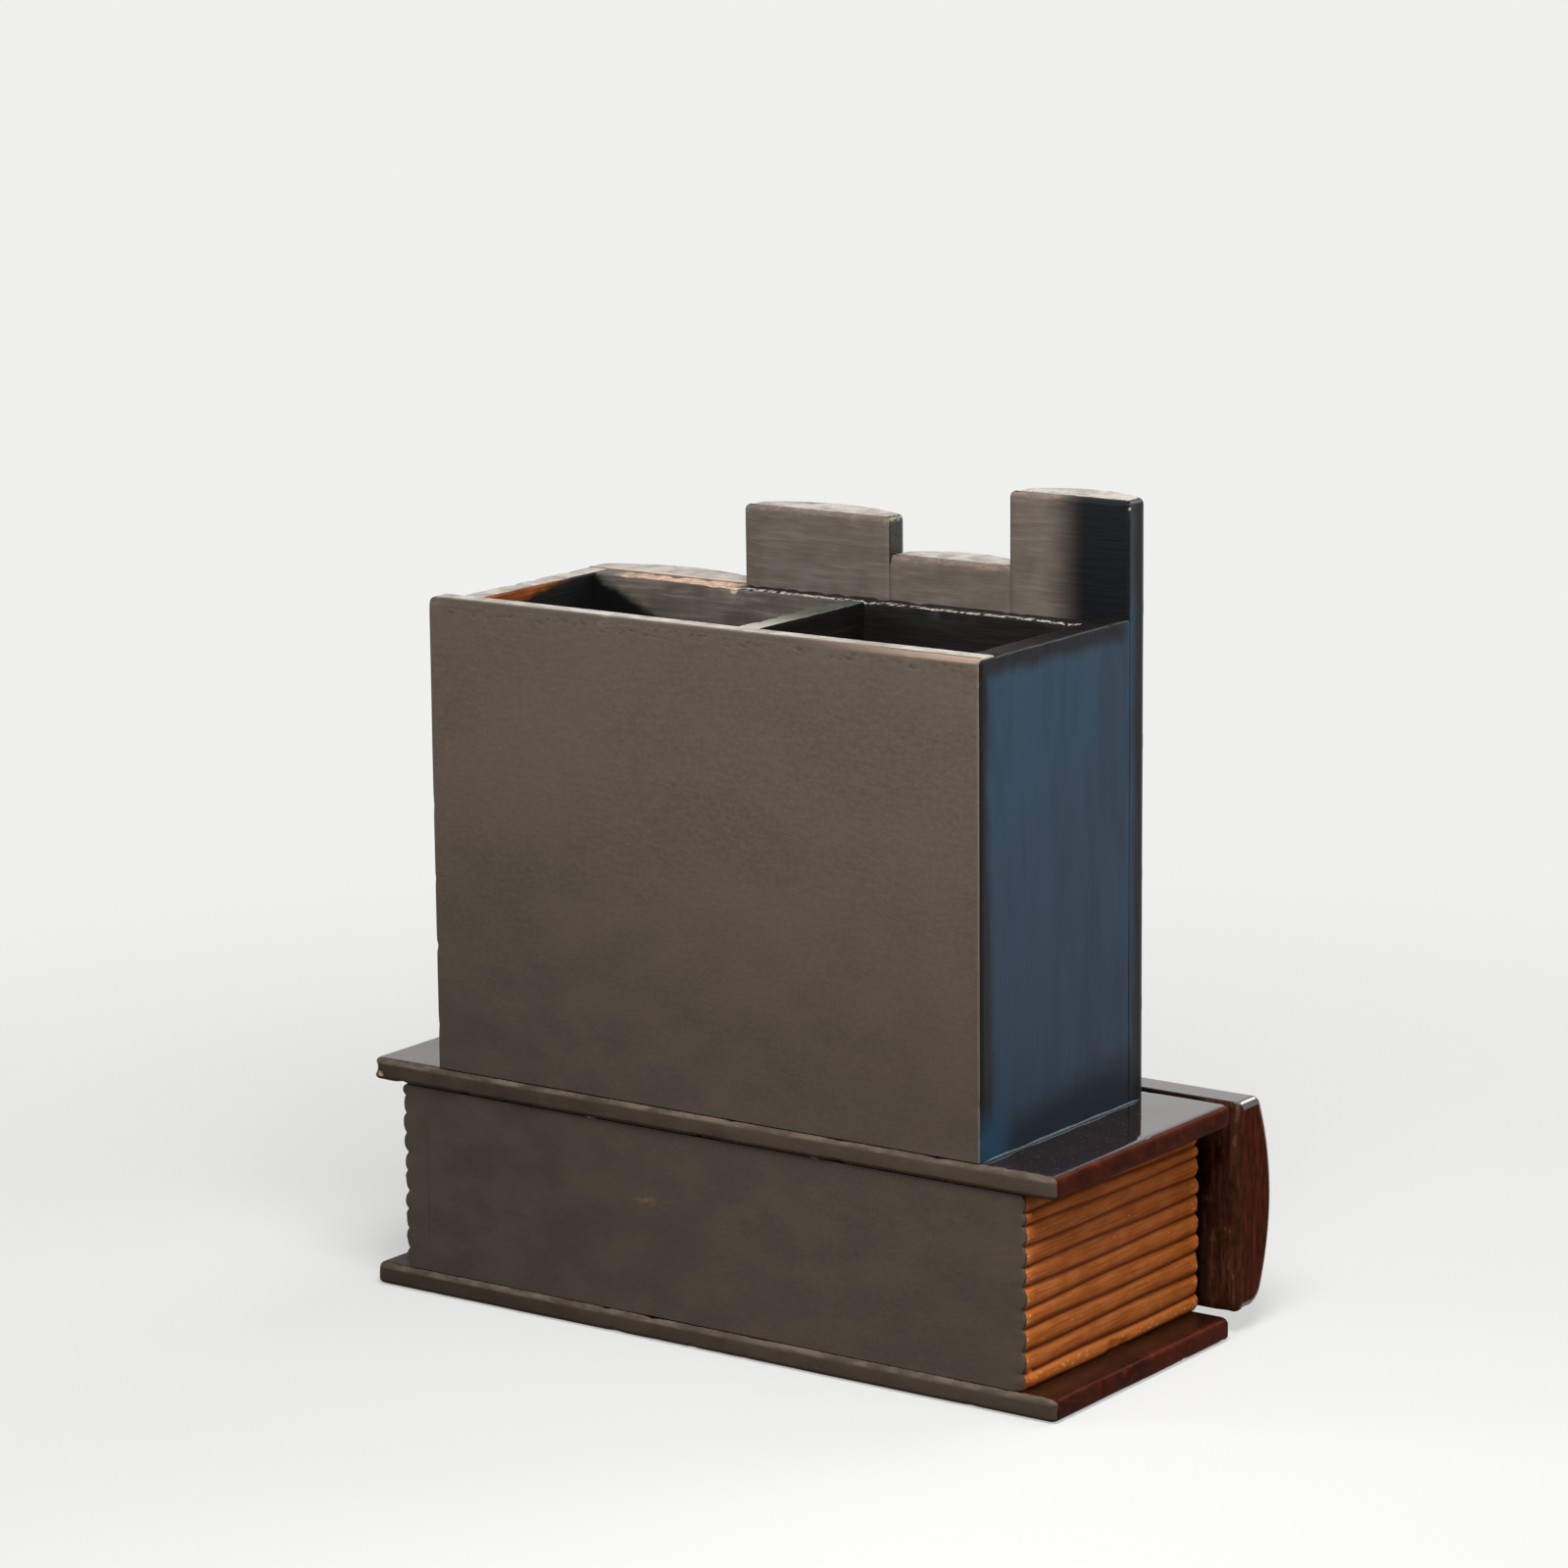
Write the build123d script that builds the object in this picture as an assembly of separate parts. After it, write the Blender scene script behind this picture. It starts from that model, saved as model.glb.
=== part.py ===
from build123d import *
from math import ceil
import os

# A wooden pen holder made to look like old books: a lying book with a drawer carries a pen cup
# that looks like four upright books. Sizes are in millimetres.
# +Z is up. The book spines and the drawer face -Y, the flat back faces +Y.
# The origin is the middle of the bounding box on the surface that the holder stands on.

# Lying book: covers, page panels and back
cover_length = 170.0
cover_depth = 66.0
cover_thickness = 5.0
cover_corner_radius = 1.8
cover_edge_radius = 1.4
base_height = 49.5
page_inset = 7.5
page_panel_thickness = 6.5
page_rib_pitch = 4.15
page_rib_depth = 1.2
base_back_setback = 1.0
base_back_thickness = 5.5

# Pen cup: boards round two compartments
cup_height = 99.0
cup_setback = 0.7
cup_end_setback = 17.5
low_rim_drop = 1.2
panel_thickness = 5.5
panel_edge_radius = 1.0
front_board_thickness = 5.5
divider_thickness = 5.0
divider_offset = 5.0
divider_groove_depth = 1.5

# Upright book spines, from the +X end of the cup to the -X end.
# The first fills the rest of the cup's length and ends at the low rim, the others rise above the cup.
second_spine_width = 36.0
third_spine_width = 29.3
fourth_spine_width = 28.2
second_spine_rise = 15.5
third_spine_rise = 8.0
fourth_spine_rise = 23.3
spine_edge_thickness = 6.0
spine_crown_thickness = 11.5
spine_corner_radius = 1.6
spine_top_radius = 0.8
band_height = 3.0
band_rise = 0.9
upright_band_shares = (0.16, 0.38, 0.60, 0.82)

# Drawer: rounded spine in front of a plain tray
drawer_spine_gap = 2.8
drawer_spine_edge_thickness = 8.5
drawer_spine_crown_thickness = 13.5
drawer_spine_corner_radius = 2.6
drawer_spine_end_radius = 1.0
drawer_spine_drop = 0.6
lying_band_shares = (0.14, 0.36, 0.64, 0.86)
drawer_board_thickness = 4.0
drawer_bottom_thickness = 3.0
drawer_bottom_rise = 1.5
drawer_groove_depth = 1.5
drawer_side_clearance = 0.6
drawer_floor_clearance = 0.3
drawer_top_clearance = 0.8
drawer_back_clearance = 0.5

# Fasteners
brad_radius = 0.6
brad_length = 14.0
brad_sink = 0.6
screw_length = 14.0
screw_radius = 1.3
screw_head_radius = 2.5
screw_head_height = 1.5
drawer_screw_length = 10.0
fastener_clearance = 0.05
cut_overrun = 1.0
page_brad_shares = (0.2, 0.8)
base_back_brad_shares = (-0.75, 0.0, 0.75)
cup_brad_shares = (0.15, 0.5, 0.85)
cup_screw_share = 0.45
drawer_brad_shares = (0.35, 0.75)
drawer_screw_shares = (-0.6, 0.0, 0.6)

# Places that follow from the sizes
cup_length = cover_length - 2 * cup_end_setback
low_rim_height = cup_height - low_rim_drop
first_spine_width = cup_length - second_spine_width - third_spine_width - fourth_spine_width
spine_widths = (first_spine_width, second_spine_width, third_spine_width, fourth_spine_width)
spine_heights = (low_rim_height, cup_height + second_spine_rise, cup_height + third_spine_rise,
                 cup_height + fourth_spine_rise)

total_depth = cover_depth + drawer_spine_gap + drawer_spine_crown_thickness + band_rise
cover_back_y = total_depth / 2
cover_front_y = cover_back_y - cover_depth
cover_end_x = cover_length / 2
page_bottom_z = cover_thickness
page_top_z = base_height - cover_thickness
page_outer_x = cover_end_x - page_inset
page_inner_x = page_outer_x - page_panel_thickness
base_back_outer_y = cover_back_y - base_back_setback
base_back_inner_y = base_back_outer_y - base_back_thickness

cup_end_x = cup_length / 2
cup_inner_x = cup_end_x - panel_thickness
cup_back_outer_y = cover_back_y - cup_setback
cup_back_inner_y = cup_back_outer_y - panel_thickness
spine_plane_y = cover_front_y + spine_crown_thickness
front_board_inner_y = spine_plane_y + front_board_thickness
low_rim_z = base_height + low_rim_height
divider_low_x = -divider_offset - divider_thickness / 2
divider_high_x = -divider_offset + divider_thickness / 2

drawer_spine_inner_y = cover_front_y - drawer_spine_gap
drawer_spine_bottom_z = cover_thickness
drawer_spine_height = base_height - drawer_spine_drop - drawer_spine_bottom_z
drawer_outer_x = page_inner_x - drawer_side_clearance
drawer_inner_x = drawer_outer_x - drawer_board_thickness
drawer_low_z = page_bottom_z + drawer_floor_clearance
drawer_high_z = page_top_z - drawer_top_clearance
drawer_front_inner_y = drawer_spine_inner_y + drawer_board_thickness
drawer_rear_y = base_back_inner_y - drawer_back_clearance
drawer_rear_inner_y = drawer_rear_y - drawer_board_thickness
drawer_bottom_z = drawer_low_z + drawer_bottom_rise


# A square-edged board between two opposite corners
def board(low, high):
    sizes = [far - near for near, far in zip(low, high)]
    return Pos(*low) * Box(*sizes, align=(Align.MIN, Align.MIN, Align.MIN))


# A point on the straight line between two values
def between(start, end, share):
    return start + (end - start) * share


# A brad along +Z with its head end at the origin, longer and wider by a clearance when it is a cut
def brad(clearance=0.0):
    stem = Cylinder(brad_radius + clearance, brad_length + 2 * clearance,
                    align=(Align.CENTER, Align.CENTER, Align.MIN))
    return Pos(0, 0, -clearance) * stem


# A brad's cut that stays open at the face that the brad was driven through
def open_brad_cut():
    mouth = Cylinder(brad_radius + fastener_clearance, brad_sink + cut_overrun,
                     align=(Align.CENTER, Align.CENTER, Align.MAX))
    return brad(fastener_clearance) + mouth


# A countersunk screw along +Z with its head's flat face at the origin
def screw(length, clearance=0.0):
    head = Cone(screw_head_radius + clearance, screw_radius + clearance, screw_head_height,
                align=(Align.CENTER, Align.CENTER, Align.MIN))
    stem = Cylinder(screw_radius + clearance, length + clearance,
                    align=(Align.CENTER, Align.CENTER, Align.MIN))
    return head + stem


# A screw's cut, open at the face that the head lies in
def screw_cut(length):
    mouth = Cylinder(screw_head_radius + fastener_clearance, cut_overrun,
                     align=(Align.CENTER, Align.CENTER, Align.MAX))
    return screw(length, fastener_clearance) + mouth


# Places of the fasteners: each is a location whose +Z axis is the way the fastener points
upwards = Rot(0, 0, 0)
downwards = Rot(180, 0, 0)
forwards = Rot(90, 0, 0)
towards_plus_x = Rot(0, 90, 0)
towards_minus_x = Rot(0, -90, 0)


def base_brad_points():
    rib_free_x = page_outer_x - page_rib_depth
    page_x = (page_inner_x + rib_free_x) / 2
    back_y = (base_back_outer_y + base_back_inner_y) / 2
    points = [(side * page_x, between(cover_front_y, base_back_outer_y, share))
              for side in (-1, 1) for share in page_brad_shares]
    points += [(page_inner_x * share, back_y) for share in base_back_brad_shares]
    return points


bottom_brad_places = [Pos(x, y, brad_sink) * upwards for x, y in base_brad_points()]
top_brad_places = [Pos(x, y, base_height - brad_sink) * downwards for x, y in base_brad_points()]


def cup_screw_places():
    back_y = (cup_back_outer_y + cup_back_inner_y) / 2
    front_y = (spine_plane_y + front_board_inner_y) / 2
    reach_x = cup_inner_x * cup_screw_share
    return [Pos(side * reach_x, y, page_top_z) * upwards for side in (-1, 1) for y in (back_y, front_y)]


def cup_brad_places():
    end_x = (cup_end_x + cup_inner_x) / 2
    front_y = (spine_plane_y + front_board_inner_y) / 2
    sunk_x = cup_end_x - brad_sink
    places = []
    for share in cup_brad_shares:
        z = base_height + low_rim_height * share
        places += [Pos(side * end_x, cup_back_outer_y - brad_sink, z) * forwards for side in (-1, 1)]
        places.append(Pos(-sunk_x, front_y, z) * towards_plus_x)
        places.append(Pos(sunk_x, front_y, z) * towards_minus_x)
    return places


def drawer_brad_places():
    front_y = (drawer_spine_inner_y + drawer_front_inner_y) / 2
    rear_y = (drawer_rear_y + drawer_rear_inner_y) / 2
    sunk_x = drawer_outer_x - brad_sink
    places = []
    for share in drawer_brad_shares:
        z = between(drawer_low_z, drawer_high_z, share)
        for y in (front_y, rear_y):
            places.append(Pos(-sunk_x, y, z) * towards_plus_x)
            places.append(Pos(sunk_x, y, z) * towards_minus_x)
    return places


def drawer_screw_places():
    z = drawer_spine_bottom_z + drawer_spine_height / 2
    return [Pos(drawer_inner_x * share, drawer_front_inner_y, z) * forwards for share in drawer_screw_shares]


bottom_brad_cuts = [place * open_brad_cut() for place in bottom_brad_places]
top_brad_cuts = [place * brad(fastener_clearance) for place in top_brad_places]
cup_screw_cuts = [place * screw_cut(screw_length) for place in cup_screw_places()]
cup_brad_cuts = [place * brad(fastener_clearance) for place in cup_brad_places()]
drawer_brad_cuts = [place * brad(fastener_clearance) for place in drawer_brad_places()]
drawer_screw_cuts = [place * screw_cut(drawer_screw_length) for place in drawer_screw_places()]


# A book cover: a board with rounded corners and bullnosed edges
def cover(bottom_z):
    outline = RectangleRounded(cover_length, cover_depth, cover_corner_radius)
    plate = extrude(outline, cover_thickness)
    rims = plate.faces().sort_by(Axis.Z)[0].edges() + plate.faces().sort_by(Axis.Z)[-1].edges()
    plate = fillet(rims, cover_edge_radius)
    return Pos(0, (cover_back_y + cover_front_y) / 2, bottom_z) * plate


# A page panel: a flat board whose outer face is a stack of rounded ribs, side +1 at the +X end.
# The ribs start at the bottom cover, and the panel's top edge cuts through the last one.
def page_panel(side):
    root_x = page_outer_x - page_rib_depth
    rib_count = ceil((page_top_z - page_bottom_z) / page_rib_pitch)
    stack_top_z = page_bottom_z + rib_count * page_rib_pitch
    ribs = []
    for rib in range(rib_count):
        foot_z = page_bottom_z + rib * page_rib_pitch
        crest_z = foot_z + page_rib_pitch / 2
        ribs.append(ThreePointArc((side * root_x, foot_z), (side * page_outer_x, crest_z),
                                  (side * root_x, foot_z + page_rib_pitch)))
    flat_side = Polyline((side * root_x, stack_top_z), (side * page_inner_x, stack_top_z),
                         (side * page_inner_x, page_bottom_z), (side * root_x, page_bottom_z))
    profile = make_face(Curve() + ribs + flat_side)
    depth = base_back_outer_y - cover_front_y
    stack = Pos(0, base_back_outer_y, 0) * extrude(Plane.XZ * profile, depth, dir=(0, -1, 0))
    near_x, far_x = sorted((side * page_inner_x, side * page_outer_x))
    waste = board((near_x - cut_overrun, cover_front_y - cut_overrun, page_top_z),
                  (far_x + cut_overrun, base_back_outer_y + cut_overrun, stack_top_z + cut_overrun))
    return stack - waste - bottom_brad_cuts - top_brad_cuts


def base_back_panel():
    panel = board((-page_inner_x, base_back_inner_y, page_bottom_z),
                  (page_inner_x, base_back_outer_y, page_top_z))
    return panel - bottom_brad_cuts - top_brad_cuts


# The cut of the groove that one long edge of the divider sits in
def divider_groove(near_y, far_y):
    return board((divider_low_x, near_y, base_height - cut_overrun),
                 (divider_high_x, far_y, base_height + cup_height + cut_overrun))


# The cup's back: its outer upright edges and its top outer edge are rounded
def cup_back_panel():
    panel = board((-cup_end_x, cup_back_inner_y, base_height),
                  (cup_end_x, cup_back_outer_y, base_height + cup_height))
    outer_face = panel.faces().sort_by(Axis.Y)[-1]
    panel = fillet(outer_face.edges().sort_by(Axis.Z)[1:], panel_edge_radius)
    groove = divider_groove(cup_back_inner_y - cut_overrun, cup_back_inner_y + divider_groove_depth)
    return panel - groove - cup_screw_cuts - cup_brad_cuts


# An end board of the cup, with its top outer edge rounded, side +1 at the +X end
def end_panel(side, height):
    near_x, far_x = sorted((side * cup_inner_x, side * cup_end_x))
    panel = board((near_x, spine_plane_y, base_height), (far_x, cup_back_inner_y, base_height + height))
    outer_face = panel.faces().sort_by(Axis.X)[-1 if side > 0 else 0]
    panel = fillet(outer_face.edges().sort_by(Axis.Z)[-1], panel_edge_radius)
    return panel - cup_brad_cuts


def cup_front_board():
    panel = board((-cup_inner_x, spine_plane_y, base_height), (cup_inner_x, front_board_inner_y, low_rim_z))
    groove = divider_groove(front_board_inner_y - divider_groove_depth, front_board_inner_y + cut_overrun)
    return panel - groove - cup_screw_cuts - cup_brad_cuts


def cup_divider():
    return board((divider_low_x, front_board_inner_y - divider_groove_depth, base_height),
                 (divider_high_x, cup_back_inner_y + divider_groove_depth, low_rim_z))


# The section of a spine moulding: flat behind, crowned in front, with rounded front corners.
# It lies in XY with its flat face on the X axis and its crown towards -Y.
def spine_section(width, edge_thickness, crown_thickness, corner_radius):
    half = width / 2
    sides = Polyline((-half, -edge_thickness), (-half, 0), (half, 0), (half, -edge_thickness))
    crown = ThreePointArc((half, -edge_thickness), (0, -crown_thickness), (-half, -edge_thickness))
    section = make_face(Curve() + [sides, crown])
    return fillet(section.vertices().sort_by(Axis.Y)[:2], corner_radius)


# A spine moulding that stands along +Z from the XY plane, with raised bands that fade out at its sides.
# round_ends picks the end faces whose edges are rounded: 0 is the foot, -1 the top.
def spine(width, length, edge_thickness, crown_thickness, corner_radius, rim_radius, round_ends,
          band_shares):
    stem = extrude(spine_section(width, edge_thickness, crown_thickness, corner_radius), length)
    for end in round_ends:
        stem = fillet(stem.faces().sort_by(Axis.Z)[end].edges(), rim_radius)
    raised_section = spine_section(width, edge_thickness, crown_thickness + band_rise, corner_radius)
    band = extrude(raised_section, band_height)
    for share in band_shares:
        stem += Pos(0, 0, length * share - band_height / 2) * band
    return stem


# The upright spines stand side by side on the top cover, against the front board
def upright_spine(place):
    start_x = cup_end_x - sum(spine_widths[:place])
    middle_x = start_x - spine_widths[place] / 2
    moulding = spine(spine_widths[place], spine_heights[place], spine_edge_thickness,
                     spine_crown_thickness, spine_corner_radius, spine_top_radius, (-1,),
                     upright_band_shares)
    return Pos(middle_x, spine_plane_y, base_height) * moulding


# The drawer's spine is such a moulding laid along X, as long as the covers
def drawer_spine():
    moulding = spine(drawer_spine_height, cover_length, drawer_spine_edge_thickness,
                     drawer_spine_crown_thickness, drawer_spine_corner_radius, drawer_spine_end_radius,
                     (0, -1), lying_band_shares)
    middle_z = drawer_spine_bottom_z + drawer_spine_height / 2
    return Pos(-cover_end_x, drawer_spine_inner_y, middle_z) * Rot(0, 90, 0) * moulding - drawer_screw_cuts


# The drawer's bottom, held in a groove on all four sides
def drawer_bottom():
    reach_x = drawer_inner_x + drawer_groove_depth
    tray_z = drawer_bottom_z + drawer_bottom_thickness
    return board((-reach_x, drawer_front_inner_y - drawer_groove_depth, drawer_bottom_z),
                 (reach_x, drawer_rear_inner_y + drawer_groove_depth, tray_z))


def drawer_front_board():
    panel = board((-drawer_inner_x, drawer_spine_inner_y, drawer_low_z),
                  (drawer_inner_x, drawer_front_inner_y, drawer_high_z))
    return panel - drawer_bottom() - drawer_brad_cuts - drawer_screw_cuts


def drawer_back():
    panel = board((-drawer_inner_x, drawer_rear_inner_y, drawer_low_z),
                  (drawer_inner_x, drawer_rear_y, drawer_high_z))
    return panel - drawer_bottom() - drawer_brad_cuts


def drawer_side(side):
    near_x, far_x = sorted((side * drawer_inner_x, side * drawer_outer_x))
    panel = board((near_x, drawer_spine_inner_y, drawer_low_z), (far_x, drawer_rear_y, drawer_high_z))
    return panel - drawer_bottom() - drawer_brad_cuts


# Left and right are as seen from the front, so left is the -X side
sub_parts = {
    "bottom_cover": cover(0) - bottom_brad_cuts,
    "top_cover": cover(page_top_z) - top_brad_cuts - cup_screw_cuts,
    "left_page_panel": page_panel(-1),
    "right_page_panel": page_panel(1),
    "base_back_panel": base_back_panel(),
    "cup_back_panel": cup_back_panel(),
    "left_end_panel": end_panel(-1, cup_height),
    "right_end_panel": end_panel(1, low_rim_height),
    "cup_front_board": cup_front_board(),
    "cup_divider": cup_divider(),
    "first_book_spine": upright_spine(0),
    "second_book_spine": upright_spine(1),
    "third_book_spine": upright_spine(2),
    "fourth_book_spine": upright_spine(3),
    "drawer_spine": drawer_spine(),
    "drawer_front_board": drawer_front_board(),
    "drawer_left_side": drawer_side(-1),
    "drawer_right_side": drawer_side(1),
    "drawer_back": drawer_back(),
    "drawer_bottom": drawer_bottom(),
    "base_brads": Compound([place * brad() for place in bottom_brad_places + top_brad_places]),
    "cup_screws": Compound([place * screw(screw_length) for place in cup_screw_places()]),
    "cup_brads": Compound([place * brad() for place in cup_brad_places()]),
    "drawer_spine_screws": Compound([place * screw(drawer_screw_length) for place in drawer_screw_places()]),
    "drawer_brads": Compound([place * brad() for place in drawer_brad_places()]),
}

os.makedirs("parts", exist_ok=True)
for name, shape in sub_parts.items():
    export_step(shape, f"parts/{name}.step")
print(f"{len(sub_parts)} sub-parts, {cover_length:.1f} long, {total_depth:.1f} deep, "
      f"{base_height + max(spine_heights):.1f} high")
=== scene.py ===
import bpy
import numpy as np
from mathutils import Matrix, Vector


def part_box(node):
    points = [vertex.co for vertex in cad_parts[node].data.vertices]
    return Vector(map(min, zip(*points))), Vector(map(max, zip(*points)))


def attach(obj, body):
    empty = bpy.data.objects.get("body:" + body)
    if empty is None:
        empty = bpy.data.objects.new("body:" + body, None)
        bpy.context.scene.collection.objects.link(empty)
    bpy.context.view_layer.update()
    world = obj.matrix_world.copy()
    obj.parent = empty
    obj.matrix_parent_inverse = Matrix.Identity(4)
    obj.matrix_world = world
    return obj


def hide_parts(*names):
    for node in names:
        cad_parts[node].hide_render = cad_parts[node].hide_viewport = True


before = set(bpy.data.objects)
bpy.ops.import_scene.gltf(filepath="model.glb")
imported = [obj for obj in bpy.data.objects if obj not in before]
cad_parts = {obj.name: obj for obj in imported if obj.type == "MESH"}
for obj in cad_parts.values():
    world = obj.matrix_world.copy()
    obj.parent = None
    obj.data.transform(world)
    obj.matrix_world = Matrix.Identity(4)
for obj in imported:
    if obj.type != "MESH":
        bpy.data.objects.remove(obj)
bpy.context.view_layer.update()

# A pen holder made to look like old books: a lying book with a drawer carries a cup of upright books.
# The frame is in metres, +Z up. The drawer and the book spines face -Y, the painted flat back faces +Y.
# In the dictionaries of pieces and finishes, sizes are in millimetres and colours are as a screen shows
# them, 0 to 255. The stage at the end is in metres, apart from the camera's lens and sensor.
mm = 0.001
print("frame loaded,", len(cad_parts), "nodes")


# Mesh tools

finish = {}              # every finish by its name, filled below
flatSide = 0.74          # how squarely a face looks one way to carry the finish of that side


def addObject(name, data):
    thing = bpy.data.objects.new(name, data)
    bpy.context.scene.collection.objects.link(thing)
    return thing


# Shading directions of face corners: at a point, each face counts by its area, so wide flats stay flat up to
# the roundings. A cut face keeps its own direction and leaves its neighbours theirs.
def cornerNormals(points, faces, cut):
    sizes = np.array([len(face) for face in faces])
    faceNormals = np.zeros((len(faces), 3))
    quads = np.array([face for face in faces if len(face) == 4])
    faceNormals[sizes == 4] = np.cross(points[quads[:, 2]] - points[quads[:, 0]],
                                       points[quads[:, 3]] - points[quads[:, 1]])
    for index in np.flatnonzero(sizes != 4):
        ring = points[faces[index]]
        faceNormals[index] = np.cross(ring, np.roll(ring, -1, axis=0)).sum(axis=0)
    corners, owner = np.concatenate(faces), np.repeat(np.arange(len(faces)), sizes)
    normals = np.zeros_like(points)
    np.add.at(normals, corners, np.where(cut[owner, None], 0, faceNormals[owner]))
    shown = np.where(cut[owner, None], faceNormals[owner], normals[corners])
    return shown / np.maximum(np.linalg.norm(shown, axis=1, keepdims=True), 1e-20)


# One object from arrays of points and faces, with point values that the finishes read
def layMesh(name, points, faces, values, finishNames, faceFinish, cut=None):
    mesh = bpy.data.meshes.new(name)
    mesh.from_pydata(points.tolist(), [], faces)
    for valueName, numbers in values.items():
        layer = mesh.attributes.new(valueName, "FLOAT", "POINT")
        layer.data.foreach_set("value", np.ascontiguousarray(numbers, dtype=np.float32))
    for finishName in finishNames:
        mesh.materials.append(finish[finishName])
    mesh.polygons.foreach_set("material_index", np.asarray(faceFinish, dtype=np.int32))
    mesh.polygons.foreach_set("use_smooth", np.ones(len(mesh.polygons), dtype=bool))
    mesh.update()
    cut = np.zeros(len(faces), dtype=bool) if cut is None else cut
    mesh.normals_split_custom_set(cornerNormals(points, faces, cut).tolist())
    return addObject(name, mesh)


# Faces of a closed tube of rings: quads from each ring to the next, and one face on each end
def tubeFaces(count, around):
    index = np.arange(count * around).reshape(count, around)
    onward = np.roll(index, -1, axis=1)
    quads = np.stack([index[:-1], onward[:-1], onward[1:], index[1:]], axis=-1).reshape(-1, 4)
    return quads.tolist() + [index[0].tolist()[::-1], index[-1].tolist()]


# Turns faces so that they point outwards: the summed volume of face and origin wedges is then positive
def faceOutwards(points, faces):
    quads = np.array([face for face in faces if len(face) == 4])
    a, b, c = points[quads[:, 0]], points[quads[:, 1]], points[quads[:, 2]]
    volume = (np.cross(a, b) * c).sum()
    return [face[::-1] for face in faces] if volume < 0 else faces


def boxOf(node):
    low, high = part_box(node)
    return np.array(low), np.array(high)


# Puts a dressed piece on its body, in place of its node
def seatPiece(piece, node, body):
    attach(piece, body)
    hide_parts(node)


# Gives each face the finish of the way it looks: sides maps a direction, such as "+y", to a finish name and
# to how squarely a face has to look that way
def faceFinishes(ways, main, sides):
    names = list(dict.fromkeys([main, *[finishName for finishName, square in sides.values()]]))
    chosen = np.zeros(len(ways), dtype=np.int32)
    for way, (finishName, square) in sides.items():
        sign = 1 if way[0] == "+" else -1
        chosen[sign * ways[:, "xyz".index(way[1])] > square] = names.index(finishName)
    return names, chosen


# Places along one side of a board: close round each edge, fine out to a reach from the ends, even between
def sideSteps(low, high, radii, step, fine):
    rimCount = 5
    start, stop = low + radii[0], high - radii[1]
    marks = [start, start + fine[0] * mm, stop - fine[1] * mm, stop]
    spans = [np.linspace(low, start, rimCount), np.linspace(stop, high, rimCount)]
    for near, far, gap in zip(marks[:-1], marks[1:], (fine[2], step, fine[2])):
        spans.append(np.linspace(near, far, max(2, int(round((far - near) / (gap * mm))) + 1)))
    return np.unique(np.round(np.concatenate(spans), 8))


# The skin of a box as six grids, one for each side, welded along their shared edges
def boxSkin(steps):
    corners, quads, count = [], [], 0
    for axis in range(3):
        first, second = (axis + 1) % 3, (axis + 2) % 3
        u, v = np.meshgrid(steps[first], steps[second], indexing="ij")
        index = np.arange(u.size).reshape(u.shape)
        quad = np.stack([index[:-1, :-1], index[1:, :-1], index[1:, 1:], index[:-1, 1:]], axis=-1)
        quad = quad.reshape(-1, 4)
        for side in (0, -1):
            grid = np.empty((u.size, 3))
            grid[:, first] = u.ravel()
            grid[:, second] = v.ravel()
            grid[:, axis] = steps[axis][side]
            quads.append((quad if side else quad[:, ::-1]) + count)
            corners.append(grid)
            count += u.size
    points, weld = np.unique(np.concatenate(corners), axis=0, return_inverse=True)
    return points, weld.ravel()[np.concatenate(quads)]


# A board with soft edges. Each of its six sides has a radius. A point that is nearer to an edge than
# the two radii there swings round a quarter ellipse from one side into the other, and every other
# point stays on its flat. A side of radius 0 is cut straight, because it is glued flush to a neighbour,
# and its edges don't count as worn. Gives points, faces, outward directions, the gap to the nearest
# worn edge, and which faces are cut.
def softBoard(low, high, edges, step, fine):
    farAway = 1.0
    radii = np.array(edges, dtype=float).reshape(3, 2) * mm
    steps = [sideSteps(low[k], high[k], radii[k], step[k], fine.get("xyz"[k], (0, 0, step[k])))
             for k in range(3)]
    square, quads = boxSkin(steps)
    ends = [[steps[k][0], steps[k][-1]] for k in range(3)]
    onCut = np.stack([(square[:, k] == ends[k][1]) * 1.0 * (radii[k, 1] == 0)
                      - (square[:, k] == ends[k][0]) * 1.0 * (radii[k, 0] == 0) for k in range(3)], axis=1)
    radius = np.where(square > (low + high) / 2, radii[:, 1], radii[:, 0])
    centre = np.clip(square, low + radii[:, 0], high - radii[:, 1])
    swing = np.divide(square - centre, radius, out=np.zeros_like(square), where=radius > 0)
    turn = np.linalg.norm(swing, axis=1, keepdims=True)
    onSide = turn > 0.999
    swing = np.where(onSide, swing / np.maximum(turn, 1e-9), swing)
    outward = np.where(onSide, np.divide(swing, radius, out=np.zeros_like(swing), where=radius > 0), onCut)
    outward /= np.linalg.norm(outward, axis=1, keepdims=True)
    sideGap = np.where(radius == 0, farAway, np.minimum(square - low, high - square))
    cut = ((onCut[quads] != 0).all(axis=1)).any(axis=1)
    return centre + radius * swing, quads, outward, np.sort(sideGap, axis=1)[:, 1], cut


# Wear

handMade = {"seed": 7, "waves": 7, "wave": 0.13, "waveLength": (16, 70), "dents": 30, "dentReach": 0.7,
            "dentWidth": (0.5, 1.6), "dentShare": (0.25, 1.0), "dent": 0.4}


# Slow unevenness of sanded wood, 0 to 1: the mean of a few sine waves that run through the whole object,
# so that boards which lie flush stay flush
def slowWaves(points):
    count = handMade["waves"]
    draw = np.random.default_rng(handMade["seed"])
    ways = draw.normal(size=(count, 3))
    ways /= np.linalg.norm(ways, axis=1, keepdims=True)
    ways *= 2 * np.pi / (draw.uniform(*handMade["waveLength"], size=(count, 1)) * mm)
    waves = np.sin(points @ ways.T + draw.uniform(0, 2 * np.pi, count))
    return 0.5 + 0.5 * waves.mean(axis=1)


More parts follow.
